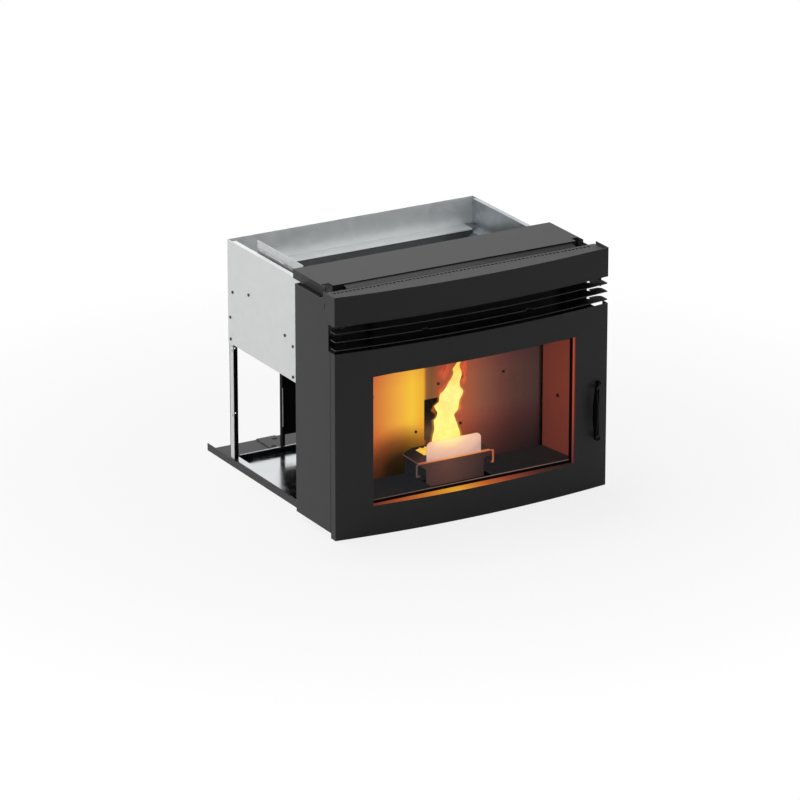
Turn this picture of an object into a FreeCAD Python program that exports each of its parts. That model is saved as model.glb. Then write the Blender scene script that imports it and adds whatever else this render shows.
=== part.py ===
import FreeCAD, Part
import math
import os
import re
import Sketcher

doc = FreeCAD.newDocument("pellet_insert")
Vector = FreeCAD.Vector

# Driving sizes in millimetres; depths are measured back from the chord of the bowed front.
SIZES = {
    "front_width": 700,
    "bow_sag": 25,
    "panel_sheet": 2,
    "zinc_sheet": 1.5,
    "run_gap": 0.05,
    "slide_gap": 0.4,
    "overcut": 1,
    "fuse_lap": 1,
    # base tray and its rails
    "tray_inset": 27,
    "tray_tail": 106,
    "tray_sheet": 2,
    "tray_flange": 17,
    "front_setback": 20,
    "tray_bolt_across": 350,
    "tray_bolt_along": 40,
    "tray_bolt_inset": 45,
    "tray_bolt_bore": 9,
    "anchor_width": 50,
    "anchor_length": 82,
    "anchor_offset": 171.5,
    "anchor_sheet": 3,
    "anchor_slot": 7,
    "anchor_edge": 2,
    "rail_width": 16,
    "rail_wall": 2,
    "rail_height": 11,
    "rail_end_gap": 12,
    "rail_side_gap": 2,
    # pull-out carriage
    "pan_lift": 2,
    "pan_rim_height": 12,
    "pan_lip": 15,
    "pan_side_gap": 1,
    "pan_front_depth": 4,
    "crossbar_height": 13,
    "runner_start": 40,
    "casing_inset": 28.5,
    "casing_depth": 544,
    "casing_front_gap": 19,
    "casing_drop": 25,
    "casing_lip": 10,
    "post_leg_across": 20,
    "post_leg_along": 18,
    "post_overlap": 30,
    "post_bore": 4,
    "post_bore_shift": 3,
    "service_post_offset": 190,
    "service_post_leg": 12,
    "service_panel_lift": 29,
    "pipe_gap": 1,
    # outer panels
    "door_bottom": 2,
    "door_height": 434.5,
    "door_return": 20,
    "louvre_height": 62.5,
    "fascia_height": 68,
    "fascia_return": 51,
    "fascia_slit": 2,
    "fascia_slit_inset": 6,
    "fascia_slit_rise": 30,
    "fascia_slit_height": 13,
    "strip_drop": 7,
    "strip_depth": 57,
    "strip_bore": 7.2,
    "strip_pitch": 10,
    "strip_row_depth": 44.5,
    "strip_margin": 20,
    "side_depth": 177,
    "side_lift": 12,
    "side_drop": 18,
    "side_door_gap": 1.5,
    "side_louvre_depth": 28,
    "side_flange": 12,
    "side_window_drop": 24,
    "slat_sheet": 2.5,
    "slat_depth": 30,
    "slat_pitch": 19,
    "slat_rise": 7.5,
    "slat_corner": 12,
    "slat_notch_radius": 8.5,
    "slat_notch_offset": 133,
    "slat_bore_radius": 6,
    "slat_bore_inset": 34,
    "slat_post_inset": 102,
    "slat_post_width": 12,
    "slat_post_depth": 6,
    "cover_inset": 19,
    "cover_start": 76,
    "cover_lap": 15,
    "cover_flange": 21,
    "cover_front_flange": 14,
    "cover_notch": 20,
    "cover_rail_sheet": 2,
    "cover_rail_gap": 4,
    "strap_length": 20,
    "strap_lap": 15,
    "strap_low": 40,
    "strap_high": 30,
    "spacer_lap": 10,
    "spacer_depth": 12,
    "spacer_half": 20,
    "tie_thick": 6,
    "tie_front": 5,
    "tie_rear": 20,
    "tie_low": 6,
    "tie_height": 20,
    # hopper and fuel feed
    "rim_drop": 65,
    "bin_gap": 1,
    "mouth_left_gap": 20,
    "mouth_right_gap": 3,
    "mouth_front_gap": 23,
    "mouth_rear_gap": 36,
    "throat_half": 24,
    "throat_length": 96,
    "throat_gap": 34,
    "throat_rise": 41,
    "guide_length": 210,
    "guide_slot": 2.5,
    "guide_slot_drop": 20,
    "guide_slot_end": 6,
    "auger_drop": 5,
    "tube_radius": 30,
    "tube_wall": 2,
    "tube_front_gap": 9,
    "tube_cap": 4,
    "auger_gap": 4,
    "auger_shaft_radius": 7,
    "auger_pitch": 42,
    "auger_blade": 4,
    "auger_end_gap": 8,
    "auger_blade_root": 2,
    "auger_shift": 0.5,
    "gearbox_half": 32,
    "gearbox_length": 36,
    "gearbox_wall": 6,
    "gearmotor_radius": 26,
    "gearmotor_length": 30,
    "gearmotor_gap": 6,
    "chute_half": 36,
    "chute_height": 50,
    "chute_rise": 115,
    "chute_wall": 2,
    "chute_drop_gap": 6,
    "chute_drop_length": 44,
    "chute_bend_gap": 4,
    "chute_fall": 68,
    "chute_lip_drop": 45,
    "chute_roof_drop": 10,
    "chute_slope_drop": 22,
    "chute_neck_drop": 3,
    # firebox
    "frame_setback": 22.5,
    "frame_sheet": 3,
    "frame_side_gap": 12,
    "frame_lift": 1,
    "frame_mouth_side": 25,
    "frame_mouth_margin": 14,
    "frame_top_margin": 37,
    "shell_inset": 50,
    "shell_back_gap": 26,
    "shell_wall": 3,
    "shell_foot": 18,
    "foot_inset": 20,
    "foot_width": 20,
    "foot_front": 20,
    "foot_rear": 50,
    "shell_headroom": 28,
    "firebox_depth": 152,
    "liner_rear_thick": 22,
    "liner_front_thick": 4,
    "liner_front_gap": 6,
    "liner_sheet": 8,
    "hearth_drop": 9,
    "hearth_sheet": 2,
    "hearth_hole_half": 77.5,
    "hearth_hole_front": 40,
    "hearth_hole_rear": 12,
    "baffle_depth": 90,
    "baffle_side_gap": 20,
    "baffle_drop": 14,
    "baffle_sheet": 6,
    "ash_half": 140,
    "ash_front_gap": 10.5,
    "ash_rear_gap": 8,
    "ash_top_gap": 4.5,
    "ash_sheet": 1.5,
    # burn pot
    "pot_half": 93.5,
    "pot_length": 75,
    "flame_plate_inset": 6,
    "pot_rear_gap": 2,
    "pot_rim_height": 46,
    "pot_rim_sheet": 2,
    "pot_roof_height": 15,
    "pot_mouth_half": 76,
    "pot_mouth_inset": 8,
    "pot_cup_half": 66,
    "pot_cup_depth": 30,
    "pot_cup_inset": 14,
    "pot_wall": 2,
    "pot_front_wall": 3,
    "pot_grate_sheet": 3,
    "pot_grate_pitch": 10,
    "pot_grate_bore": 5,
    "pot_apron_half": 74.5,
    "pot_apron_taper": 17,
    "pot_apron_height": 58,
    "pot_hook_reach": 7,
    "pot_hook_drop": 30,
    "pot_hook_wire": 3,
    "pot_hook_lap": 4,
    "stand_half": 89,
    "stand_wall": 3,
    "stand_front_gap": 6,
    "stand_rear_gap": 2,
    "flame_plate_half": 70,
    "flame_plate_height": 45,
    "flame_plate_sheet": 3,
    "flame_plate_corner": 12,
    "igniter_radius": 6,
    "igniter_gap": 27,
    "igniter_rise": 34,
    "igniter_flange": 14,
    "igniter_fit": 0.5,
    "igniter_play": 1,
    "igniter_tip": 6,
    "igniter_tail": 30,
    "igniter_collar": 4,
    # door
    "sill_height": 70,
    "stile_width": 90,
    "head_height": 61.5,
    "reveal_end": 1,
    "glass_overlap": 10,
    "glass_sheet": 4,
    "seal_sheet": 2,
    "seal_lap": 7,
    "retainer_wall": 8,
    "inner_frame_depth": 15,
    "inner_frame_side": 42,
    "inner_frame_margin": 36,
    "rope_width": 10,
    "rope_gap": 0.3,
    "rope_inset": 2,
    "hinge_inset": 6.5,
    "hinge_depth": 10,
    "hinge_pin_radius": 3,
    "hinge_pin_length": 20,
    "hinge_block_half": 4.5,
    "hinge_plate": 3,
    "hinge_end_play": 0.5,
    "hinge_pad_wall": 1,
    "hinge_ear_gap": 1.5,
    "hinge_ear_depth": 12,
    "hinge_arm_half": 3.2,
    "hinge_arm_length": 73.5,
    # handle and latch
    "pivot_inset": 27,
    "pivot_rise": 3.776,
    "pivot_radius": 3,
    "lever_rise": 119,
    "lever_length": 132,
    "ear_half": 4.5,
    "ear_height": 5,
    "ear_root": 2,
    "arm_gap": 2,
    "arm_half": 2.1,
    "arm_height": 6,
    "grip_shift": 14,
    "grip_stand": 12.5,
    "grip_radius": 6.5,
    "grip_trim": 8,
    "grip_taper": 44,
    "grip_tip_radius": 2.2,
    "hook_width": 5,
    "hook_height": 12,
    "hook_end": 18,
    "hook_slot": 14,
    "hook_play": 1,
    "keeper_width": 22,
    "keeper_lug": 6,
    "keeper_sheet": 2,
    "keeper_gap": 3,
    "keeper_reach": 9,
    # smoke and air
    "flue_shift": 68,
    "fan_rise": 87,
    "fan_radius": 76,
    "smoke_length": 54,
    "fan_length": 60,
    "fan_wall": 2,
    "fan_eye_radius": 40,
    "fan_exit_shift": 20,
    "fan_exit_margin": 4,
    "smoke_half": 62,
    "smoke_way_half": 45,
    "impeller_side_gap": 12,
    "impeller_height": 36,
    "impeller_disc": 3,
    "impeller_blade": 3,
    "impeller_bore": 34,
    "impeller_gap": 8,
    "fan_shaft_radius": 5,
    "fan_shaft_length": 36,
    "fan_shaft_play": 3,
    "fan_hub_wall": 6,
    "blade_trim": 1,
    "fan_motor_radius": 36,
    "fan_motor_length": 62,
    "flue_radius": 40,
    "flue_wall": 1.5,
    "flue_post_gap": 6,
    "flue_drop": 53,
    "flue_reach": 48,
    "inlet_radius": 25,
    "inlet_wall": 1.5,
    "inlet_gap": 29,
    "inlet_rise": 29,
    "inlet_reach": 32,
    "inlet_flange": 34,
    "inlet_collar": 3,
    "bead_rise": 6,
    "bead_length": 3,
    # convection blower
    "blower_gap": 40,
    "blower_rise": 98,
    "blower_radius": 74,
    "blower_width": 106,
    "blower_inlet_gap": 28,
    "blower_wall": 2,
    "blower_outlet": 60,
    "blower_neck": 20,
    "blower_eye_lap": 10,
    "blower_foot": 40,
    "wheel_side_gap": 16,
    "wheel_gap": 6,
    "blower_motor_radius": 30,
    "blower_motor_length": 46,
    "blower_motor_wall": 8,
    # electrics on the service panel
    "control_width": 92,
    "control_gap": 8,
    "control_depth": 80,
    "control_drop": 34,
    "control_height": 97,
    "power_gap": 34,
    "power_drop": 84,
    "power_half": 34,
    "power_tall": 15,
    "power_depth": 22,
    "power_flange": 3,
    "power_rim": 4,
    "socket_floor": 4,
    "socket_tall": 8,
    "contact_pitch": 6,
    "contact_radius": 1.2,
    "contact_root": 3,
    "contact_setback": 2,
    "socket_half": 12,
    "rocker_shift": 18,
    "rocker_half": 8,
    "rocker_tall": 10,
    "rocker_thick": 10,
    "rocker_gap": 2,
    "rocker_side_gap": 0.5,
    "rocker_well": 8,
    "rocker_sink": 3,
    "rocker_pin_reach": 2,
    "rocker_pin_play": 0.2,
    "rocker_pin_radius": 1.5,
    # screws
    "screw_radius": 3.5,
    "screw_head": 1.5,
}

# Positions that follow from the sizes, written in terms of the sizes and of each other.
PLACES = {
    "half": "front_width / 2",
    "side_inner": "half - panel_sheet",
    "tray_length": "casing_depth - front_setback + tray_tail",
    "front": "-(tray_length / 2 + front_setback)",
    "bow_radius": "(front_width * front_width / 4 + bow_sag * bow_sag) / (2 * bow_sag)",
    "bow_axis": "front + bow_radius - bow_sag",
    "bow_front": "front - bow_sag",
    "tray_half": "half - tray_inset",
    "tray_inner": "tray_half - tray_sheet",
    "tray_rear": "tray_length / 2",
    "tray_bolt_y": "tray_rear - tray_bolt_inset",
    "rail_outer": "tray_inner - rail_side_gap",
    "rail_inner": "rail_outer - rail_width",
    "rail_floor": "tray_sheet + rail_wall",
    "runner_outer": "rail_outer - rail_wall - slide_gap",
    "runner_inner": "rail_inner + rail_wall + slide_gap",
    "pan_floor": "tray_sheet + pan_lift",
    "pan_top": "pan_floor + zinc_sheet",
    "pan_half": "rail_inner - pan_side_gap",
    "pan_rim": "pan_floor + pan_rim_height",
    "pan_lip_half": "pan_half + pan_lip",
    "casing_half": "half - casing_inset",
    "casing_inner": "casing_half - zinc_sheet",
    "casing_front": "shell_rear + casing_front_gap",
    "rear": "front + casing_depth",
    "rear_inner": "rear - zinc_sheet",
    "door_top": "door_bottom + door_height",
    "fascia_bottom": "door_top + louvre_height",
    "fascia_top": "fascia_bottom + fascia_height",
    "strip_top": "fascia_top - strip_drop",
    "casing_top": "fascia_top - casing_drop",
    "casing_bottom": "chute_high + chute_fall",
    "service_panel_right": "casing_inner - post_leg_across",
    "side_bottom": "door_bottom + side_lift",
    "side_top": "fascia_top - side_drop",
    "side_front": "front + door_return + side_door_gap",
    "side_rear": "front + side_depth",
    "slat_bore_offset": "side_inner - slat_bore_inset",
    "slat_post_offset": "side_inner - slat_post_inset",
    "strap_front": "side_rear - panel_sheet - strap_length",
    "cover_half": "half - cover_inset",
    "cover_bottom": "fascia_top - cover_flange",
    "cover_rear": "casing_front + cover_lap",
    "rim_top": "casing_top - rim_drop",
    "mouth_left": "casing_inner - mouth_left_gap",
    "mouth_right": "casing_inner - mouth_right_gap",
    "mouth_start": "casing_front - front + mouth_front_gap",
    "mouth_end": "casing_depth - mouth_rear_gap",
    "tube_start": "casing_front - front + tube_front_gap",
    "tube_end": "casing_depth - gearmotor_gap - gearmotor_length - gearbox_length",
    "throat_end": "tube_end - throat_gap",
    "throat_start": "throat_end - throat_length",
    "auger_radius": "tube_radius - tube_wall - auger_gap",
    "chute_drop_start": "tube_start + chute_drop_gap",
    "chute_drop_end": "chute_drop_start + chute_drop_length",
    "chute_bend_depth": "shell_rear - front + chute_bend_gap",
    "auger_z": "casing_bottom - auger_drop",
    "throat_top": "auger_z + throat_rise",
    "aperture_bottom": "door_bottom + sill_height",
    "aperture_top": "door_top - head_height",
    "aperture_half": "half - stile_width",
    "frame_face": "front + frame_setback",
    "frame_back": "frame_face + frame_sheet",
    "frame_bottom": "tray_flange + frame_lift",
    "frame_top": "aperture_top + frame_top_margin",
    "frame_half": "side_inner - frame_side_gap",
    "frame_mouth_half": "aperture_half + frame_mouth_side",
    "shell_half": "half - shell_inset",
    "shell_rear": "back_face + liner_sheet + shell_back_gap",
    "shell_bottom": "pan_top + shell_foot",
    "shell_floor": "shell_bottom + shell_wall",
    "shell_top": "aperture_top + shell_headroom",
    "hearth_top": "aperture_bottom - hearth_drop",
    "hearth_base": "hearth_top - hearth_sheet",
    "back_face": "front + firebox_depth",
    "firebox_rear_half": "shell_half - shell_wall - liner_rear_thick",
    "firebox_front_half": "shell_half - shell_wall - liner_front_thick",
    "baffle_half": "firebox_rear_half - baffle_side_gap",
    "ash_top": "hearth_base - ash_top_gap",
    "chute_low": "hearth_top + chute_rise",
    "chute_high": "chute_low + chute_height",
    "pot_front": "pot_rear - pot_length",
    "pot_rear": "back_face - pot_rear_gap",
    "pot_rim": "hearth_top + pot_rim_height",
    "pot_base": "pot_rim - pot_rim_sheet",
    "pot_roof": "pot_rim + pot_roof_height",
    "pot_back": "pot_front + flame_plate_inset + flame_plate_sheet",
    "cup_base": "pot_base - pot_cup_depth",
    "igniter_offset": "inlet_flange + igniter_flange + igniter_gap - inlet_offset",
    "igniter_z": "hearth_top + igniter_rise",
    "reveal_y": "front + reveal_end",
    "seal_y": "reveal_y + seal_sheet",
    "glass_y": "seal_y + glass_sheet",
    "inner_frame_y": "front + inner_frame_depth",
    "inner_frame_back": "inner_frame_y + panel_sheet",
    "inner_frame_half": "aperture_half + inner_frame_side",
    "hinge_x": "-(half - hinge_inset)",
    "hinge_y": "front + hinge_depth",
    "hinge_base": "pan_top + hinge_plate",
    "pivot_offset": "half - pivot_inset",
    "pivot_y": "bow_axis - sqrt(bow_radius * bow_radius - pivot_offset * pivot_offset) - pivot_rise",
    "grip_offset": "pivot_offset - grip_shift",
    "grip_y": "pivot_y - grip_stand",
    "lever_low": "door_bottom + lever_rise",
    "lever_high": "lever_low + lever_length",
    "lever_mid": "(lever_low + lever_high) / 2",
    "grip_low": "lever_low + grip_trim / 2",
    "grip_high": "lever_high - grip_trim / 2",
    "flue_offset": "casing_inner - post_leg_across - flue_radius - bead_rise - flue_post_gap",
    "fan_offset": "flue_offset - flue_shift",
    "fan_height": "hearth_top + fan_rise",
    "flue_height": "fan_height - flue_drop",
    "impeller_radius": "fan_radius - fan_wall - impeller_side_gap",
    "inlet_offset": "fan_offset - smoke_half - inlet_flange - inlet_gap",
    "inlet_height": "hearth_top + inlet_rise",
    "fan_y": "shell_rear + smoke_length",
    "fan_rear": "fan_y + fan_length",
    "flue_rear": "rear + flue_reach",
    "inlet_rear": "rear + inlet_reach",
    "blower_right": "blower_motor_length + blower_inlet_gap + inlet_radius - inlet_offset",
    "blower_left": "blower_right + blower_width",
    "wheel_radius": "blower_radius - blower_wall - wheel_side_gap",
    "blower_y": "shell_rear + blower_gap + blower_radius",
    "blower_z": "pan_top + blower_rise",
    "control_right": "service_panel_right - control_gap",
    "control_left": "control_right - control_width",
    "control_high": "casing_bottom - control_drop",
    "control_low": "control_high - control_height",
    "power_offset": "control_left - power_gap - power_half",
    "power_height": "casing_bottom - power_drop",
    "power_y": "rear_inner - power_depth",
    "rocker_x": "power_offset + rocker_shift",
    "rocker_y": "rear",
}

WORD = re.compile(r"[a-z][a-z0-9_]*")
TURN = {
    "x": FreeCAD.Rotation(Vector(0, 1, 0), 90),
    "y": FreeCAD.Rotation(Vector(1, 0, 0), -90),
    "z": FreeCAD.Rotation(),
}
NODES = []
SLATS = 3
IMPELLER_BLADES = 10
WHEEL_BLADES = 16

sheet = doc.addObject("Spreadsheet::Sheet", "dims")
for row, (alias, size) in enumerate(SIZES.items(), start=1):
    sheet.set(f"A{row}", alias)
    sheet.set(f"B{row}", str(size))
    sheet.setAlias(f"B{row}", alias)
doc.recompute()


def spell(text):
    """Spell out every size and place name as the sheet cells it stands for."""
    def swap(match):
        word = match.group()
        if word in PLACES:
            return "(" + spell(PLACES[word]) + ")"
        return "dims." + word if word in SIZES else word
    return WORD.sub(swap, text)


def bind(piece, prop, text):
    piece.setExpression(prop, spell(text))


def put(piece, x, y, z):
    """Tie the position of a piece to the sheet."""
    for axis, text in zip("xyz", (x, y, z)):
        bind(piece, ".Placement.Base." + axis, text)


def behind(depth):
    """A depth behind the front chord, as a position."""
    return f"(front + {depth})"


def mirrored(side, inner, outer):
    """The two bounds of a stretch across, on the left (-1) or right (1) side."""
    return (inner, outer) if side > 0 else (f"-({outer})", f"-({inner})")


def both(text):
    return (f"-({text})", text)


def box(name, x, y, z):
    """A block between a low and a high bound along each axis."""
    piece = doc.addObject("Part::Box", name)
    for prop, (low, high) in zip(("Length", "Width", "Height"), (x, y, z)):
        bind(piece, prop, f"({high}) - ({low})")
    put(piece, x[0], y[0], z[0])
    return piece


def rod(name, axis, centre, span, radius):
    """A cylinder along an axis; centre holds the two other coordinates in xyz order."""
    piece = doc.addObject("Part::Cylinder", name)
    piece.Placement = FreeCAD.Placement(Vector(), TURN[axis])
    bind(piece, "Radius", radius)
    bind(piece, "Height", f"({span[1]}) - ({span[0]})")
    spot = list(centre)
    spot.insert("xyz".index(axis), span[0])
    put(piece, *spot)
    return piece


def cone(name, centre, z, low_radius, high_radius):
    """An upright taper between two radii."""
    piece = doc.addObject("Part::Cone", name)
    bind(piece, "Radius1", low_radius)
    bind(piece, "Radius2", high_radius)
    bind(piece, "Height", f"({z[1]}) - ({z[0]})")
    put(piece, *centre, z[0])
    return piece


def frustum(name, low, high, z):
    """A four-sided funnel between a low and a high rectangle, each given as x and y bounds."""
    piece = doc.addObject("Part::Wedge", name)
    piece.Placement = FreeCAD.Placement(Vector(), FreeCAD.Rotation(Vector(1, 0, 0), 90))
    bounds = {
        "Ymin": z[0], "Ymax": z[1],
        "Xmin": low[0][0], "Xmax": low[0][1],
        "Zmin": f"-({low[1][1]})", "Zmax": f"-({low[1][0]})",
        "X2min": high[0][0], "X2max": high[0][1],
        "Z2min": f"-({high[1][1]})", "Z2max": f"-({high[1][0]})",
    }
    for prop, text in bounds.items():
        bind(piece, prop, text)
    return piece


def fuse(name, *pieces):
    piece = doc.addObject("Part::MultiFuse", name)
    piece.Shapes = list(pieces)
    return piece


def cut(name, base, *tools):
    piece = doc.addObject("Part::Cut", name)
    piece.Base = base
    piece.Tool = tools[0] if len(tools) == 1 else fuse(name + "_tools", *tools)
    return piece


def common(name, first, second):
    piece = doc.addObject("Part::Common", name)
    piece.Base = first
    piece.Tool = second
    return piece


def group(name, *pieces):
    """Separate solids that share one node."""
    piece = doc.addObject("Part::Compound", name)
    piece.Links = list(pieces)
    return piece


def node(label, piece):
    piece.Label = label
    NODES.append(piece)
    return piece


def sketch_in(body, name, plane):
    """An empty sketch on one of the body's own planes."""
    sketch = body.newObject("Sketcher::SketchObject", name)
    origin = [item for item in body.Origin.OriginFeatures if item.Role == plane]
    sketch.AttachmentSupport = [(origin[0], "")]
    sketch.MapMode = "FlatFace"
    return sketch


def outline(sketch, corners):
    """A closed polygon whose corners are all tied to the sheet."""
    count = len(corners)
    turn = 2 * math.pi / count
    start = [Vector(10 * math.cos(i * turn), 10 * math.sin(i * turn), 0) for i in range(count)]
    for i in range(count):
        sketch.addGeometry(Part.LineSegment(start[i], start[(i + 1) % count]), False)
    for i in range(count):
        sketch.addConstraint(Sketcher.Constraint("Coincident", i, 2, (i + 1) % count, 1))
    for i, corner in enumerate(corners):
        for kind, text in zip(("DistanceX", "DistanceY"), corner):
            index = sketch.addConstraint(Sketcher.Constraint(kind, -1, 1, i, 1, 1.0))
            bind(sketch, f"Constraints[{index}]", text)


def disc(sketch, radius):
    """A circle round the sketch origin."""
    index = sketch.addGeometry(Part.Circle(Vector(), Vector(0, 0, 1), 10), False)
    sketch.addConstraint(Sketcher.Constraint("Coincident", index, 3, -1, 1))
    key = sketch.addConstraint(Sketcher.Constraint("Radius", index, 10))
    bind(sketch, f"Constraints[{key}]", radius)


def padded(body, name, plane, draw, length):
    """Pad a drawn sketch and make it the tip of the body."""
    sketch = sketch_in(body, name + "_sketch", plane)
    draw(sketch)
    pad = body.newObject("PartDesign::Pad", name)
    pad.Profile = sketch
    bind(pad, "Length", length)
    body.Tip = pad
    return pad


def plate(name, plane, corners, low, high):
    """A flat body padded from a polygon between two bounds along the plane's normal."""
    body = doc.addObject("PartDesign::Body", name)
    padded(body, name + "_pad", plane, lambda sketch: outline(sketch, corners), f"({high}) - ({low})")
    along = {"XY_Plane": "z", "YZ_Plane": "x", "XZ_Plane": "y"}[plane]
    # A sketch on the XZ plane is padded towards -Y, so that body starts at the high bound.
    bind(body, ".Placement.Base." + along, high if along == "y" else low)
    return body


def bowed_disc(name, z, inset="0"):
    """The whole cylinder that the bowed front is a slice of."""
    return rod(name, "z", ("0", "bow_axis"), z, f"bow_radius - ({inset})")


def bowed_sheet(name, x, z):
    """A sheet of panel thickness that follows the bow."""
    skin = cut(name + "_skin", bowed_disc(name + "_outer", z),
               bowed_disc(name + "_inner", z, "panel_sheet"))
    return common(name, skin, box(name + "_reach", x, ("bow_front - overcut", "front + bow_sag"), z))


def ring(name, outer, inner, y):
    """An upright rectangular ring; outer and inner are pairs of half width and z bounds."""
    solid = box(name + "_outer", both(outer[0]), y, outer[1])
    hole = box(name + "_inner", both(inner[0]), (f"({y[0]}) - overcut", f"({y[1]}) + overcut"), inner[1])
    return cut(name, solid, hole)


def round_slot(name, x, y, z, length, width):
    """A slot across with round ends, standing along z."""
    radius = f"({width}) / 2"
    ends = [rod(f"{name}_{end}", "z", (f"({x}) + {sign} * ({length}) / 2", y), z, radius)
            for end, sign in (("a", -1), ("b", 1))]
    middle = box(name + "_mid", (f"({x}) - ({length}) / 2", f"({x}) + ({length}) / 2"),
                 (f"({y}) - {radius}", f"({y}) + {radius}"), z)
    return fuse(name, middle, *ends)


SIDES = (("left", -1), ("right", 1))


def build_tray():
    floor = box("tray_floor", both("tray_half"), both("tray_rear"), ("0", "tray_sheet"))
    flanges = [box(f"tray_flange_{side}", mirrored(sign, "tray_inner", "tray_half"),
                   both("tray_rear"), ("0", "tray_flange")) for side, sign in SIDES]
    holes = [rod(f"tray_bolt_{i}", "z", (f"{sx} * tray_bolt_across / 2",
                                          f"tray_bolt_y + {sy} * tray_bolt_along / 2"),
                 ("-overcut", "tray_sheet + overcut"), "tray_bolt_bore / 2")
             for i, (sx, sy) in enumerate(((-1, -1), (1, -1), (1, 1), (-1, 1)))]
    node("base_tray", cut("tray", fuse("tray_folded", floor, *flanges), *holes))

    rails = []
    runners = []
    for side, sign in SIDES:
        along = ("-(tray_rear - rail_end_gap)", "rear")
        channel = box(f"rail_{side}_block", mirrored(sign, "rail_inner", "rail_outer"), along,
                      ("tray_sheet", "tray_sheet + rail_height"))
        groove = box(f"rail_{side}_groove", mirrored(sign, "rail_inner + rail_wall",
                                                     "rail_outer - rail_wall"),
                     ("-tray_rear", "tray_rear"), ("rail_floor", "tray_sheet + rail_height + overcut"))
        rails.append(cut(f"rail_{side}", channel, groove))
        runners.append(box(f"runner_{side}", mirrored(sign, "runner_inner", "runner_outer"),
                           ("front + runner_start", "rear"),
                           ("rail_floor + slide_gap", "pan_rim - zinc_sheet")))
    node("fixed_rails", group("rails", *rails))
    node("runners", group("runner_pair", *runners))

    middle = "tray_rear - anchor_length / 2 - anchor_edge"
    block = box("anchor_block", ("-anchor_offset - anchor_width / 2", "-anchor_offset + anchor_width / 2"),
                (f"{middle} - anchor_length / 2", f"{middle} + anchor_length / 2"),
                ("tray_sheet", "tray_sheet + anchor_sheet"))
    slots = [round_slot(f"anchor_slot_{i}", f"-anchor_offset + {i} * anchor_width / 4",
                        f"{middle} + {i} * anchor_length / 4",
                        ("-overcut", "tray_sheet + anchor_sheet + overcut"),
                        "anchor_slot", "anchor_slot") for i in (-1, 1)]
    node("anchor_plate", cut("anchor", block, *slots))


def build_carriage():
    floor = box("pan_base", both("pan_half"), ("front + pan_front_depth", "rear"), ("pan_floor", "pan_top"))
    parts = [floor, box("pan_crossbar", both("pan_half"), ("rear_inner", "rear"),
                        ("pan_floor", "pan_floor + crossbar_height"))]
    for side, sign in SIDES:
        along = ("front + runner_start", "rear")
        parts.append(box(f"pan_wall_{side}", mirrored(sign, "pan_half - zinc_sheet", "pan_half"), along,
                         ("pan_floor", "pan_rim")))
        parts.append(box(f"pan_lip_{side}", mirrored(sign, "pan_half - zinc_sheet", "pan_lip_half"), along,
                         ("pan_rim - zinc_sheet", "pan_rim")))
    node("carriage_pan", fuse("pan", *parts))

    posts = []
    for side, sign in SIDES:
        tall = ("pan_rim", "casing_bottom + post_overlap")
        back = box(f"post_back_{side}", mirrored(sign, "casing_inner - post_leg_across", "casing_inner"),
                   ("rear_inner - zinc_sheet", "rear_inner"), tall)
        leg = box(f"post_side_{side}", mirrored(sign, "casing_inner - zinc_sheet", "casing_inner"),
                  ("rear_inner - post_leg_along", "rear_inner"), tall)
        holes = [rod(f"post_hole_{side}_{i}", "y",
                     (f"{sign} * (casing_inner - post_leg_across / 2 - post_bore_shift)",
                      f"pan_rim + {share} * (casing_bottom - pan_rim)"),
                     ("rear_inner - zinc_sheet - overcut", "rear_inner + overcut"), "post_bore / 2")
                 for i, share in enumerate((0.38, 0.94))]
        holes += [rod(f"post_cross_{side}_{i}", "x",
                      ("rear_inner - post_leg_along * 0.7", f"pan_rim + {share} * (casing_bottom - pan_rim)"),
                      mirrored(sign, "casing_inner - zinc_sheet - overcut", "casing_inner + overcut"),
                      "post_bore / 2")
                  for i, share in enumerate((0.385, 0.94, 0.98))]
        posts.append(cut(f"post_{side}", fuse(f"post_angle_{side}", back, leg), *holes))
    node("rear_posts", group("posts", *posts))

    tall = ("pan_floor + crossbar_height", "casing_bottom")
    leg_end = "-service_post_offset + service_post_leg"
    web = box("service_web", ("-service_post_offset", leg_end), ("rear_inner", "rear"), tall)
    leg = box("service_leg", ("-service_post_offset", "-service_post_offset + zinc_sheet"),
              ("rear - service_post_leg", "rear"), tall)
    node("service_post", fuse("service_angle", web, leg))

    low = "pan_floor + crossbar_height + service_panel_lift"
    panel = box("service_sheet", (leg_end, "service_panel_right"), ("rear_inner", "rear"),
                (low, "casing_bottom"))
    through = ("rear_inner - overcut", "rear + overcut")
    openings = [
        rod("service_flue_hole", "y", ("flue_offset", "flue_height"), through, "flue_radius + pipe_gap"),
        rod("service_inlet_hole", "y", ("inlet_offset", "inlet_height"), through,
            "inlet_radius + pipe_gap"),
        box("service_power_hole", ("power_offset - power_half", "power_offset + power_half"), through,
            ("power_height - power_tall", "power_height + power_tall")),
    ]
    node("service_panel", cut("service", panel, *openings))


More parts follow.
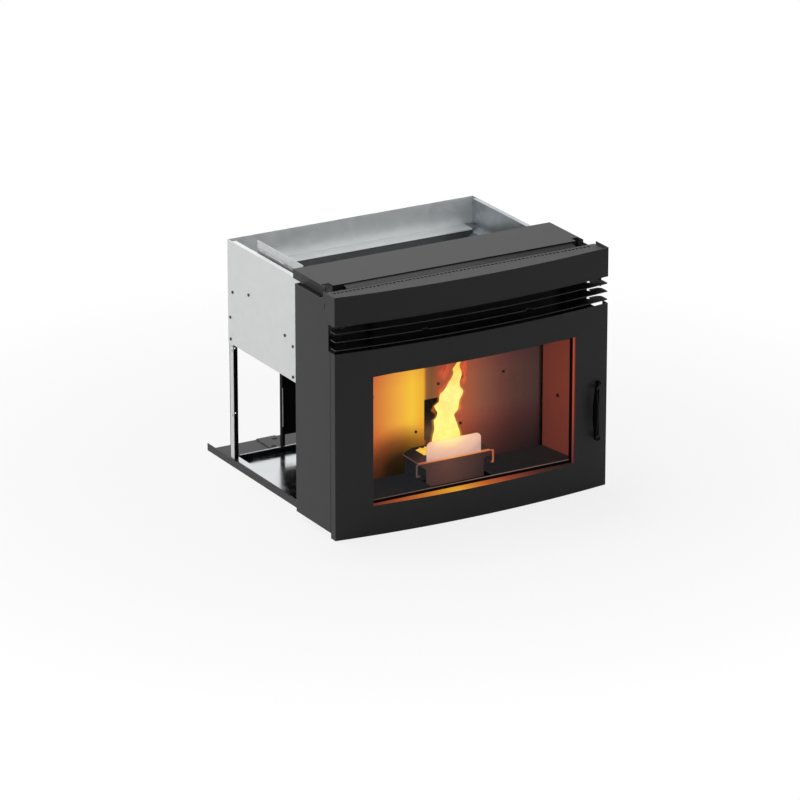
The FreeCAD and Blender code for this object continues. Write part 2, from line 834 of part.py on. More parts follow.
def build_casing():
    lip = {"top": ("casing_top - zinc_sheet", "casing_top"),
           "low": ("casing_bottom", "casing_bottom + zinc_sheet")}
    for side, sign in SIDES:
        wall = box(f"casing_wall_{side}", mirrored(sign, "casing_inner", "casing_half"),
                   ("casing_front", "rear"),
                   ("casing_bottom", "casing_top"))
        lips = [box(f"casing_lip_{side}_{end}", mirrored(sign, "casing_inner - casing_lip", "casing_half"),
                    ("casing_front", "rear_inner - zinc_sheet - post_leg_along"), z) for end,
                    z in lip.items()]
        node(f"casing_{side}", fuse(f"casing_folded_{side}", wall, *lips))
    tall = ("casing_bottom", "casing_top")
    node("casing_rear", box("casing_back", both("casing_inner"), ("rear_inner", "rear"), tall))
    clear = "casing_inner - casing_lip"
    upright = box("casing_shield", both(clear), ("casing_front", "casing_front + zinc_sheet"), tall)
    node("casing_front", upright)

    rim = box("bin_rim", both(clear), ("casing_front + zinc_sheet",
                                       "rear_inner - zinc_sheet - post_leg_along"),
              ("rim_top - zinc_sheet", "rim_top"))
    wings = [box(f"bin_wing_{side}", mirrored(sign, f"{clear} - fuse_lap", "casing_inner"),
                 ("casing_front + zinc_sheet", "rear_inner - zinc_sheet - post_leg_along"),
                 ("rim_top - zinc_sheet", "rim_top")) for side, sign in SIDES]
    tail = box("bin_tail", both("casing_inner - zinc_sheet - bin_gap"),
               ("rear_inner - zinc_sheet - post_leg_along - fuse_lap", "rear_inner"),
               ("rim_top - zinc_sheet", "rim_top"))
    mouth = (("-mouth_left", "mouth_right"), (behind("mouth_start"), behind("mouth_end")))
    neck = (both("throat_half"), (behind("throat_start"), behind("throat_end")))
    inner_mouth = (("-mouth_left + zinc_sheet", "mouth_right - zinc_sheet"),
                   (behind("mouth_start + zinc_sheet"), behind("mouth_end - zinc_sheet")))
    inner_neck = (both("throat_half - zinc_sheet"),
                  (behind("throat_start + zinc_sheet"), behind("throat_end - zinc_sheet")))
    funnel = frustum("bin_funnel", neck, mouth, ("throat_top", "rim_top"))
    throat = box("bin_throat", *neck, ("auger_z", "throat_top"))
    hollow = frustum("bin_hollow", inner_neck, inner_mouth, ("throat_top", "rim_top"))
    bore = box("bin_bore", *inner_neck, ("auger_z - overcut", "throat_top + overcut"))
    tube = rod("bin_tube", "y", ("0", "auger_z"), (behind("tube_start"), behind("tube_end")), "tube_radius")
    solid = fuse("bin_solid", rim, *wings, tail, funnel, throat)
    node("hopper_bin", cut("bin", solid, fuse("bin_space", hollow, bore), tube))

    guide = box("guide_sheet", ("-mouth_left - zinc_sheet", "-mouth_left"),
                (behind("mouth_start"), behind("mouth_start + guide_length")), ("rim_top", "fascia_top"))
    slot = box("guide_slit", ("-mouth_left - zinc_sheet - overcut", "-mouth_left + overcut"),
               (behind("mouth_start + guide_slot_end"),
                behind("mouth_start + guide_length - guide_slot_end")),
               ("fascia_top - guide_slot_drop - guide_slot", "fascia_top - guide_slot_drop"))
    node("guide_plate", cut("guide", guide, slot))


def build_panels():
    for side, sign in SIDES:
        low, high = mirrored(sign, "side_inner", "half")
        louvre = behind("side_louvre_depth")
        upper = behind("fascia_return")
        corners = (("side_front", "side_bottom"), ("side_rear", "side_bottom"), ("side_rear", "side_top"),
                   (upper, "side_top"), (upper, "fascia_bottom"), (louvre, "fascia_bottom"),
                   (louvre, "door_top"), ("side_front", "door_top"))
        sheet_part = plate(f"side_sheet_{side}", "YZ_Plane", corners, low, high)
        flange = box(f"side_flange_{side}", mirrored(sign, "side_inner - side_flange", "half"),
                     ("side_rear - panel_sheet", "side_rear"), ("side_bottom", "side_top"))
        folded = fuse(f"side_folded_{side}", sheet_part, flange)
        if side == "right":
            window = box("side_window", ("side_inner - overcut", "half + overcut"),
                         ("side_front - overcut", behind("side_depth / 2")),
                         ("door_top - side_window_drop", "door_top + louvre_height / 2"))
            folded = cut("side_opened", folded, window)
        node(f"side_panel_{side}", folded)

    tall = ("fascia_bottom", "fascia_top")
    front = bowed_sheet("fascia_front", both("half"), tall)
    returns = [box(f"fascia_side_{side}", mirrored(sign, "side_inner", "half"),
                   ("front", behind("fascia_return")),
                   tall) for side, sign in SIDES]
    slits = [box(f"fascia_slit_{side}", mirrored(sign, "side_inner - overcut", "half + overcut"),
                 (behind("fascia_return - fascia_slit_inset - fascia_slit"),
                  behind("fascia_return - fascia_slit_inset")),
                 ("fascia_bottom + fascia_slit_rise",
                  "fascia_bottom + fascia_slit_rise + fascia_slit_height")) for side, sign in SIDES]
    node("fascia", cut("fascia_folded", fuse("fascia_sheet", front, *returns), *slits))

    strip_z = ("strip_top - zinc_sheet", "strip_top")
    blank = common("strip_blank", bowed_disc("strip_disc", strip_z, "panel_sheet"),
                   box("strip_reach", both("side_inner"), ("bow_front - overcut", behind("strip_depth")),
                       strip_z))
    count = int(2 * (SIZES["front_width"] / 2 - SIZES["strip_margin"]) / SIZES["strip_pitch"])
    holes = [rod(f"strip_hole_{i}", "z", (f"({i} - {(count - 1) / 2}) * strip_pitch",
                                          behind("strip_row_depth")),
                 ("strip_top - zinc_sheet - overcut", "strip_top + overcut"),
                 "strip_bore / 2") for i in range(count)]
    node("top_strip", cut("strip", blank, *holes))

    for index in range(SLATS):
        low = f"(door_top + slat_rise + {index} * slat_pitch)"
        build_slat(index, (low, f"{low} + slat_sheet"))

    posts = [box(f"slat_post_{side}", mirrored(sign, "slat_post_offset - slat_post_width / 2",
                                               "slat_post_offset + slat_post_width / 2"),
                 (behind("slat_depth"), behind("slat_depth + slat_post_depth")),
                 ("shell_top", "strip_top - zinc_sheet")) for side, sign in SIDES]

    top = box("cover_top", both("cover_half"), (behind("cover_start"), "cover_rear"),
              ("fascia_top - panel_sheet", "fascia_top"))
    flanges = [box(f"cover_flange_{side}", mirrored(sign, "cover_half - panel_sheet", "cover_half"),
                   (behind("cover_start"), "cover_rear"), ("cover_bottom", "fascia_top"))
               for side, sign in SIDES]
    lip = box("cover_lip", both("cover_half - cover_notch"),
              (behind("cover_start"), behind("cover_start + panel_sheet")),
              ("fascia_top - cover_front_flange", "fascia_top"))
    notches = [box(f"cover_notch_{side}", mirrored(sign, "cover_half - cover_notch",
                                                   "cover_half - panel_sheet"),
                   (behind("cover_start - overcut"), behind("cover_start + cover_notch")),
                   ("fascia_top - cover_flange", "fascia_top + overcut")) for side, sign in SIDES]
    node("top_cover", cut("cover", fuse("cover_folded", top, lip, *flanges), *notches))

    brackets = list(posts)
    for side, sign in SIDES:
        brackets.append(box(f"cover_rail_{side}", mirrored(sign, "casing_half", "side_inner"),
                            (behind("cover_start + cover_rail_gap"), "side_rear - panel_sheet"),
                            ("cover_bottom - cover_rail_sheet", "cover_bottom")))
        plain = box(f"casing_strap_{side}", mirrored(sign, "casing_half", "casing_half + zinc_sheet"),
                    ("strap_front", "casing_front + strap_lap"),
                    ("casing_bottom + strap_low", "casing_top - strap_high"))
        leg = box(f"casing_strap_leg_{side}", mirrored(sign, "casing_half", "side_inner"),
                  ("strap_front", "strap_front + zinc_sheet"),
                  ("casing_bottom + strap_low", "casing_top - strap_high"))
        brackets.append(fuse(f"casing_bracket_{side}", plain, leg))
        for level, share in (("low", 0.25), ("high", 0.75)):
            middle = f"(frame_bottom + {share} * (frame_top - frame_bottom))"
            brackets.append(box(f"frame_spacer_{side}_{level}",
                                mirrored(sign, "frame_half - spacer_lap", "side_inner"),
                                ("frame_back", "frame_back + spacer_depth"),
                                (f"{middle} - spacer_half", f"{middle} + spacer_half")))
        brackets.append(box(f"fascia_tie_{side}", mirrored(sign, "side_inner - tie_thick", "side_inner"),
                            (behind("fascia_return - tie_front"), behind("fascia_return + tie_rear")),
                            ("fascia_bottom + tie_low", "fascia_bottom + tie_low + tie_height")))
    node("panel_brackets", group("bracket_set", *brackets))


def build_slat(index, z):
    """One louvre blade with round rear corners, holes for its wiring and, on the middle one, notches."""
    deep = behind("slat_depth")
    middle = box(f"slat_{index}_mid", both("side_inner - slat_corner"), ("bow_front - overcut", deep), z)
    wide = box(f"slat_{index}_wide", both("side_inner"),
               ("bow_front - overcut", behind("slat_depth - slat_corner")), z)
    corners = [rod(f"slat_{index}_corner_{side}", "z",
                   (f"{sign} * (side_inner - slat_corner)", behind("slat_depth - slat_corner")), z,
                   "slat_corner")
               for side, sign in SIDES]
    plan = fuse(f"slat_{index}_plan", middle, wide, *corners)
    blank = common(f"slat_{index}_blank", bowed_disc(f"slat_{index}_disc", z), plan)
    tall = (f"{z[0]} - overcut", f"{z[1]} + overcut")
    tools = [rod(f"slat_{index}_bore_{side}", "z",
                 (f"{sign} * slat_bore_offset", behind("slat_depth - slat_bore_radius / 2")),
                 tall, "slat_bore_radius") for side, sign in SIDES]
    if index == 1:
        tools += [rod(f"slat_{index}_notch_{side}", "z",
                      (f"{sign} * slat_notch_offset", "bow_axis - sqrt(bow_radius * bow_radius"
                       " - slat_notch_offset * slat_notch_offset)"), tall, "slat_notch_radius")
                  for side, sign in SIDES]
    node(f"slat_{index + 1}", cut(f"slat_{index}_cut", blank, *tools))


def build_firebox():
    plate_ring = ring("frame_plate", ("frame_half", ("frame_bottom", "frame_top")),
                      ("frame_mouth_half", ("aperture_bottom - frame_mouth_margin",
                                                 "aperture_top + frame_mouth_margin")),
                                                 ("frame_face", "frame_back"))
    node("front_frame", plate_ring)

    outer = box("shell_outer", both("shell_half"), ("frame_back", "shell_rear"),
                ("shell_bottom", "shell_top"))
    feet = [box(f"shell_foot_{i}", both("shell_half - foot_inset"), (y, f"{y} + foot_width"),
                ("pan_top", "shell_bottom"))
            for i, y in enumerate(("(frame_back + foot_front)", "(shell_rear - foot_rear)"))]
    inner = box("shell_inner", both("shell_half - shell_wall"),
                ("frame_back - overcut", "shell_rear - shell_wall"),
                ("shell_floor", "shell_top - shell_wall"))
    through = ("shell_rear - shell_wall - overcut", "shell_rear + overcut")
    holes = [
        box("shell_chute_hole", both("chute_half"), through, ("chute_low", "chute_high")),
        rod("shell_inlet_hole", "y", ("inlet_offset", "inlet_height"), through,
            "inlet_radius - inlet_wall"),
        rod("shell_igniter_hole", "y", ("-igniter_offset", "igniter_z"), through,
            "igniter_radius + igniter_fit"),
        box("shell_smoke_hole", ("fan_offset - smoke_way_half", "fan_offset + smoke_way_half"), through,
            ("fan_height - smoke_way_half", "fan_height + smoke_way_half")),
    ]
    node("firebox_shell", cut("shell", fuse("shell_block", outer, *feet), inner, *holes))

    inside = "shell_half - shell_wall"
    depth = ("frame_back", "shell_rear - shell_wall")
    sheet_part = box("hearth_sheet_box", both(inside), depth, ("hearth_base", "hearth_top"))
    hole = box("hearth_hole", both("hearth_hole_half"),
               ("pot_front - hearth_hole_front", "back_face - hearth_hole_rear"),
               ("hearth_base - overcut", "hearth_top + overcut"))
    node("hearth_plate", cut("hearth", sheet_part, hole))

    ceiling = "shell_top - shell_wall"
    back = box("liner_sheet_box", both("firebox_rear_half"), ("back_face", "back_face + liner_sheet"),
               ("hearth_top", ceiling))
    passes = [
        box("liner_chute_hole", both("chute_half"),
            ("back_face - overcut", "back_face + liner_sheet + overcut"),
            ("chute_low", "chute_high")),
        rod("liner_igniter_hole", "y", ("-igniter_offset", "igniter_z"),
            ("back_face - overcut", "back_face + liner_sheet + overcut"),
            "igniter_radius + igniter_play"),
    ]
    node("liner_back", cut("liner", back, *passes))

    bricks = []
    for side, sign in SIDES:
        rear_x = f"{sign} * firebox_rear_half"
        front_x = f"{sign} * firebox_front_half"
        wall_x = f"{sign} * ({inside})"
        corners = ((front_x, "frame_back + liner_front_gap"), (wall_x, "frame_back + liner_front_gap"),
                   (wall_x, "shell_rear - shell_wall"),
                   (rear_x, "shell_rear - shell_wall"), (rear_x, "back_face"))
        bricks.append(plate(f"side_liner_{side}", "XY_Plane", corners, "hearth_top", ceiling))
    node("side_liners", group("side_liner_pair", *bricks))

    baffle_top = f"{ceiling} - baffle_drop"
    node("baffle", box("baffle_slab", both("baffle_half"), ("back_face - baffle_depth", "back_face"),
                       (f"{baffle_top} - baffle_sheet", baffle_top)))

    tray = box("ash_outer", both("ash_half"), ("frame_back + ash_front_gap", "back_face - ash_rear_gap"),
               ("shell_floor", "ash_top"))
    hollow = box("ash_hollow", both("ash_half - ash_sheet"),
                 ("frame_back + ash_front_gap + ash_sheet", "back_face - ash_rear_gap - ash_sheet"),
                 ("shell_floor + ash_sheet", "ash_top + overcut"))
    node("ash_pan", cut("ash", tray, hollow))

    stand_y = ("pot_back + stand_front_gap", "pot_rear - stand_rear_gap")
    solid = box("stand_outer", both("stand_half"), stand_y, ("hearth_top", "pot_base"))
    space = box("stand_inner", both("stand_half - stand_wall"),
                (f"{stand_y[0]} + stand_wall", f"{stand_y[1]} - stand_wall"),
                ("hearth_top - overcut", "pot_base + overcut"))
    port = rod("stand_port", "y", ("-igniter_offset", "igniter_z"),
               (f"{stand_y[1]} - stand_wall - overcut", "pot_rear"),
               "igniter_radius + igniter_play")
    node("pot_stand", cut("stand", solid, space, port))

    tip = "pot_rear - stand_wall - igniter_tip"
    body = rod("igniter_body", "y", ("-igniter_offset", "igniter_z"), (tip, "shell_rear + igniter_tail"),
               "igniter_radius")
    flange = rod("igniter_collar", "y", ("-igniter_offset", "igniter_z"),
                 ("shell_rear", "shell_rear + igniter_collar"),
                 "igniter_flange")
    node("igniter", fuse("igniter_turned", body, flange))


def build_pot():
    rim = box("pot_rim_plate", both("pot_half"), ("pot_front", "pot_rear"), ("pot_base", "pot_rim"))
    roof = frustum("pot_roof_block", (both("pot_half"), ("pot_back", "pot_rear")),
                   (both("pot_mouth_half"), ("pot_back", "pot_rear - pot_mouth_inset")),
                   ("pot_rim", "pot_roof"))
    cup_y = ("pot_back + pot_cup_inset", "pot_rear - pot_cup_inset")
    cup = box("pot_cup", both("pot_cup_half"), cup_y, ("cup_base", "pot_base"))
    low = (both("pot_cup_half - pot_wall"), (f"{cup_y[0]} + pot_wall", f"{cup_y[1]} - pot_wall"))
    high = (both("pot_mouth_half - pot_wall"),
            ("pot_back + pot_front_wall", "pot_rear - pot_mouth_inset - pot_wall"))
    hollow = fuse("pot_hollow", box("pot_cup_hollow", *low, ("cup_base + pot_grate_sheet", "pot_rim")),
                  frustum("pot_roof_hollow", low, high, ("pot_rim", "pot_roof")))
    grate = [rod(f"pot_grate_{i}_{j}", "z", (f"{i} * pot_cup_half / 4",
                                             f"(pot_back + pot_rear) / 2 + {j} * pot_grate_pitch"),
                 ("cup_base - overcut", "cup_base + pot_grate_sheet + overcut"),
                 "pot_grate_bore / 2") for i in (-3, -2, -1, 0, 1, 2, 3) for j in (-1, 0, 1)]
    apron = plate("pot_apron", "XZ_Plane",
                  (("-pot_half", "pot_rim"), ("-pot_apron_half", "pot_rim - pot_apron_taper"),
                   ("-pot_apron_half", "pot_rim - pot_apron_height"),
                   ("pot_apron_half", "pot_rim - pot_apron_height"),
                   ("pot_apron_half", "pot_rim - pot_apron_taper"), ("pot_half", "pot_rim")),
                  "pot_front", "pot_front + pot_rim_sheet")
    hooks = []
    for side, sign in SIDES:
        end = "pot_half + pot_hook_reach"
        y = ("pot_front", "pot_front + pot_hook_wire")
        low = "pot_rim - pot_hook_drop"
        for part, x, z in (("top", "pot_half - fuse_lap", ("pot_rim - pot_hook_wire", "pot_rim")),
                           ("drop", f"{end} - pot_hook_wire", (low, "pot_rim")),
                           ("foot", "pot_half - pot_hook_lap", (low, f"{low} + pot_hook_wire"))):
            hooks.append(box(f"hook_{part}_{side}", mirrored(sign, x, end), y, z))
    solid = fuse("pot_solid", rim, roof, cup, apron, *hooks)
    node("burn_pot", cut("pot", solid, fuse("pot_space", hollow, *grate)))

    y = ("pot_back - flame_plate_sheet", "pot_back")
    top = "pot_rim + flame_plate_height"
    tall = box("flame_tall", both("flame_plate_half - flame_plate_corner"), y, ("pot_rim", top))
    wide = box("flame_wide", both("flame_plate_half"), y, ("pot_rim", f"{top} - flame_plate_corner"))
    rounds = [rod(f"flame_corner_{side}", "y", (f"{sign} * (flame_plate_half - flame_plate_corner)",
                                                 f"{top} - flame_plate_corner"), y, "flame_plate_corner")
              for side, sign in SIDES]
    node("flame_plate", fuse("flame_deflector", tall, wide, *rounds))


def build_feed():
    along = (behind("tube_start"), behind("tube_end"))
    outer = rod("tube_outer", "y", ("0", "auger_z"), along, "tube_radius")
    inner = rod("tube_inner", "y", ("0", "auger_z"),
                (behind("tube_start + tube_cap"), behind("tube_end - tube_cap")),
                "tube_radius - tube_wall")
    bore = rod("tube_bore", "y", ("0", "auger_z"),
               (behind("tube_start - overcut"), behind("tube_end + overcut")),
               "auger_shaft_radius + run_gap")
    inlet = box("tube_inlet", both("throat_half - zinc_sheet"),
                (behind("throat_start + zinc_sheet"), behind("throat_end - zinc_sheet")),
                ("auger_z", "auger_z + tube_radius + overcut"))
    outlet = box("tube_outlet", both("throat_half - zinc_sheet"),
                 (behind("chute_drop_start + chute_wall"), behind("chute_drop_end - chute_wall")),
                 ("auger_z - tube_radius - overcut", "auger_z"))
    node("auger_tube", cut("tube", outer, inner, bore, inlet, outlet))

    body = doc.addObject("PartDesign::Body", "auger")
    length = "tube_end - tube_start + gearbox_length / 2"
    padded(body, "auger_shaft", "XY_Plane", lambda sketch: disc(sketch, "auger_shaft_radius"), length)
    doc.recompute()
    flight = sketch_in(body, "auger_profile", "XZ_Plane")
    low = "tube_cap + auger_end_gap"
    outline(flight, (("auger_shaft_radius - auger_blade_root", low), ("auger_radius", low),
                     ("auger_radius", f"{low} + auger_blade"),
                     ("auger_shaft_radius - auger_blade_root", f"{low} + auger_blade")))
    helix = body.newObject("PartDesign::AdditiveHelix", "auger_flight")
    helix.Profile = flight
    helix.ReferenceAxis = (flight, ["V_Axis"])
    helix.Mode = 0
    helix.Angle = 0
    helix.Growth = 0
    bind(helix, "Pitch", "auger_pitch")
    bind(helix, "Height", "tube_end - tube_start - 2 * tube_cap - 2 * auger_end_gap - auger_blade")
    body.Tip = helix
    body.Placement = FreeCAD.Placement(Vector(), TURN["y"])
    put(body, "0", behind("tube_start + auger_shift"), "auger_z")
    node("auger_screw", body)

    box_y = (behind("tube_end"), behind("tube_end + gearbox_length"))
    case = box("gearbox", both("gearbox_half"), box_y, ("auger_z - gearbox_half", "auger_z + gearbox_half"))
    can = rod("gearmotor_can", "y", ("0", "auger_z"),
              (behind("tube_end + gearbox_length"), behind("tube_end + gearbox_length + gearmotor_length")),
              "gearmotor_radius")
    socket = rod("gearbox_socket", "y", ("0", "auger_z"),
                 (behind("tube_end - overcut"), behind("tube_end + gearbox_length - gearbox_wall")),
                 "auger_shaft_radius + run_gap")
    node("auger_gearmotor", cut("gearmotor", fuse("gearmotor_solid", case, can), socket))

    roof = "auger_z - chute_roof_drop"
    shapes = []
    for name, wall in (("outer", "0"), ("inner", "chute_wall")):
        bend = behind(f"chute_bend_depth - {wall} / 2")
        corners = (("back_face", f"chute_low + {wall}"), (bend, f"chute_low + {wall}"),
                   (behind(f"chute_drop_end - {wall}"),
                    f"auger_z - tube_radius - chute_slope_drop + {wall}"),
                   (behind(f"chute_drop_end - {wall}"), roof), (behind(f"chute_drop_start + {wall}"), roof),
                   (behind(f"chute_drop_start + {wall}"),
                    f"auger_z - tube_radius - chute_neck_drop - {wall}"),
                   (bend, f"chute_high - {wall}"), ("back_face", f"chute_high - {wall}"))
        shapes.append(plate(f"chute_{name}", "YZ_Plane", corners, f"-(chute_half - {wall})",
                            f"chute_half - {wall}"))
    tube = rod("chute_tube", "y", ("0", "auger_z"), along, "tube_radius")
    lip = box("chute_lip", both("chute_half"), ("back_face - zinc_sheet", "back_face"),
              ("chute_low - chute_lip_drop", "chute_low + chute_wall"))
    node("drop_chute", cut("chute", fuse("chute_block", shapes[0], lip), shapes[1], tube))


def build_smoke():
    x = ("fan_offset - smoke_half", "fan_offset + smoke_half")
    z = ("fan_height - smoke_half", "fan_height + smoke_half")
    tank = box("smoke_tank", x, ("shell_rear", "fan_y"), z)
    drum = rod("fan_drum", "y", ("fan_offset", "fan_height"), ("fan_y", "fan_rear"), "fan_radius")
    exit_x = ("fan_offset + fan_exit_shift", "flue_offset + flue_radius + fan_exit_margin")
    exit_z = ("flue_height - flue_radius - fan_exit_margin", "fan_height")
    outlet = box("fan_outlet", exit_x, ("fan_y", "fan_rear"), exit_z)
    wall = "fan_wall"
    hollows = [
        box("smoke_hollow", (f"{x[0]} + {wall}", f"{x[1]} - {wall}"),
            ("shell_rear - overcut", f"fan_y - {wall}"),
            (f"{z[0]} + {wall}", f"{z[1]} - {wall}")),
        rod("fan_eye", "y", ("fan_offset", "fan_height"),
            (f"fan_y - {wall} - overcut", f"fan_y + {wall} + overcut"),
            "fan_eye_radius"),
        rod("fan_hollow", "y", ("fan_offset", "fan_height"), (f"fan_y + {wall}", f"fan_rear - {wall}"),
            f"fan_radius - {wall}"),
        box("fan_exit_hollow", (f"{exit_x[0]} + {wall}", f"{exit_x[1]} - {wall}"),
            (f"fan_y + {wall}", f"fan_rear - {wall}"), (f"{exit_z[0]} + {wall}", f"{exit_z[1]} - {wall}")),
        rod("fan_exit_hole", "y", ("flue_offset", "flue_height"),
            (f"fan_rear - {wall} - overcut", "fan_rear + overcut"),
            "flue_radius - flue_wall"),
        rod("fan_shaft_hole", "y", ("fan_offset", "fan_height"),
            (f"fan_rear - {wall} - overcut", "fan_rear + overcut"),
            "fan_shaft_radius + fan_shaft_play"),
    ]
    node("exhaust_housing", cut("fan_case", fuse("fan_solid", tank, drum, outlet), *hollows))

    body = fan_wheel("impeller", "impeller_radius", "impeller_height", IMPELLER_BLADES, "fan_shaft_length")
    body.Placement = FreeCAD.Placement(Vector(), TURN["y"])
    put(body, "fan_offset", "fan_y + fan_wall + impeller_gap", "fan_height")
    node("exhaust_impeller", body)
    can = rod("fan_motor_can", "y", ("fan_offset", "fan_height"),
              ("fan_rear", "fan_rear + fan_motor_length"),
              "fan_motor_radius")
    socket = rod("fan_motor_socket", "y", ("fan_offset", "fan_height"),
                 ("fan_rear - overcut", "fan_rear + fan_shaft_length"),
                 "fan_shaft_radius + run_gap")
    node("exhaust_motor", cut("fan_motor", can, socket))

    pipe = rod("flue_pipe", "y", ("flue_offset", "flue_height"), ("fan_rear", "flue_rear"), "flue_radius")
    way = rod("flue_way", "y", ("flue_offset", "flue_height"),
              ("fan_rear - overcut", "flue_rear + overcut"),
              "flue_radius - flue_wall")
    bead = rod("flue_bead", "y", ("flue_offset", "flue_height"), ("rear", "rear + bead_length"),
               "flue_radius + bead_rise")
    node("flue_spigot", cut("flue", fuse("flue_solid", pipe, bead), way))

    tube = rod("inlet_tube", "y", ("inlet_offset", "inlet_height"), ("shell_rear", "inlet_rear"),
               "inlet_radius")
    flange = rod("inlet_collar", "y", ("inlet_offset", "inlet_height"),
                 ("shell_rear", "shell_rear + inlet_collar"), "inlet_flange")
    way = rod("inlet_way", "y", ("inlet_offset", "inlet_height"),
              ("shell_rear - overcut", "inlet_rear + overcut"),
              "inlet_radius - inlet_wall")
    bead = rod("inlet_bead", "y", ("inlet_offset", "inlet_height"), ("rear", "rear + bead_length"),
               "inlet_radius + bead_rise")
    node("air_inlet", cut("inlet", fuse("inlet_solid", tube, flange, bead), way))


def fan_wheel(name, radius, height, blades, shaft):
    """A bladed wheel round its own z axis, with a drive shaft out of its far face."""
    body = doc.addObject("PartDesign::Body", name)
    padded(body, f"{name}_disc", "XY_Plane", lambda sketch: disc(sketch, radius), "impeller_disc")
    padded(body, f"{name}_hub", "XY_Plane", lambda sketch: disc(sketch, "fan_shaft_radius + fan_hub_wall"),
           height)
    padded(body, f"{name}_shaft", "XY_Plane", lambda sketch: disc(sketch, "fan_shaft_radius"),
           f"{height} + {shaft}")
    corners = (("impeller_bore", "-impeller_blade / 2"), (f"{radius} - blade_trim", "-impeller_blade / 2"),
               (f"{radius} - blade_trim", "impeller_blade / 2"), ("impeller_bore", "impeller_blade / 2"))
    blade = padded(body, f"{name}_blade", "XY_Plane", lambda sketch: outline(sketch, corners), height)
    doc.recompute()
    pattern = body.newObject("PartDesign::PolarPattern", f"{name}_blades")
    pattern.Originals = [blade]
    pattern.Axis = (blade.Profile[0], ["N_Axis"])
    pattern.Angle = 360
    pattern.Occurrences = blades
    body.Tip = pattern
    return body


def build_blower():
    wall = "blower_wall"
    x = ("-blower_left", "-blower_right")
    drum = rod("blower_drum", "x", ("blower_y", "blower_z"), x, "blower_radius")
    duct_y = ("blower_y - blower_radius", "blower_y - blower_radius + blower_outlet")
    duct = box("blower_duct", x, duct_y, ("blower_z", "blower_z + blower_radius + blower_neck"))
    foot = box("blower_stand", x, ("blower_y - blower_foot / 2", "blower_y + blower_foot / 2"),
               ("pan_top", "blower_z"))
    hollows = [
        rod("blower_hollow", "x", ("blower_y", "blower_z"), (f"{x[0]} + {wall}", f"{x[1]} - {wall}"),
            f"blower_radius - {wall}"),
        box("blower_duct_hollow", (f"{x[0]} + {wall}", f"{x[1]} - {wall}"),
            (f"{duct_y[0]} + {wall}", f"{duct_y[1]} - {wall}"),
            ("blower_z", "blower_z + blower_radius + blower_neck + overcut")),
        rod("blower_eye", "x", ("blower_y", "blower_z"),
            (f"{x[0]} - overcut", f"{x[0]} + {wall} + overcut"), "wheel_radius - blower_eye_lap"),
        rod("blower_shaft_hole", "x", ("blower_y", "blower_z"),
            (f"{x[1]} - {wall} - overcut", f"{x[1]} + overcut"),
            "fan_shaft_radius + fan_shaft_play"),
    ]
    node("blower_housing", cut("blower", fuse("blower_solid", drum, duct, foot), *hollows))

    wide = "blower_left - blower_right - 2 * blower_wall - 2 * wheel_gap"
    body = fan_wheel("wheel", "wheel_radius", wide, WHEEL_BLADES,
                     "blower_motor_length / 2 + wheel_gap + blower_wall")
    body.Placement = FreeCAD.Placement(Vector(), TURN["x"])
    put(body, "-blower_left + blower_wall + wheel_gap", "blower_y", "blower_z")
    node("blower_wheel", body)
    can = rod("blower_motor_can", "x", ("blower_y", "blower_z"),
              ("-blower_right", "-blower_right + blower_motor_length"),
              "blower_motor_radius")
    socket = rod("blower_motor_socket", "x", ("blower_y", "blower_z"),
                 ("-blower_right - overcut", "-blower_right + blower_motor_length - blower_motor_wall"),
                 "fan_shaft_radius + run_gap")
    node("blower_motor", cut("blower_drive", can, socket))


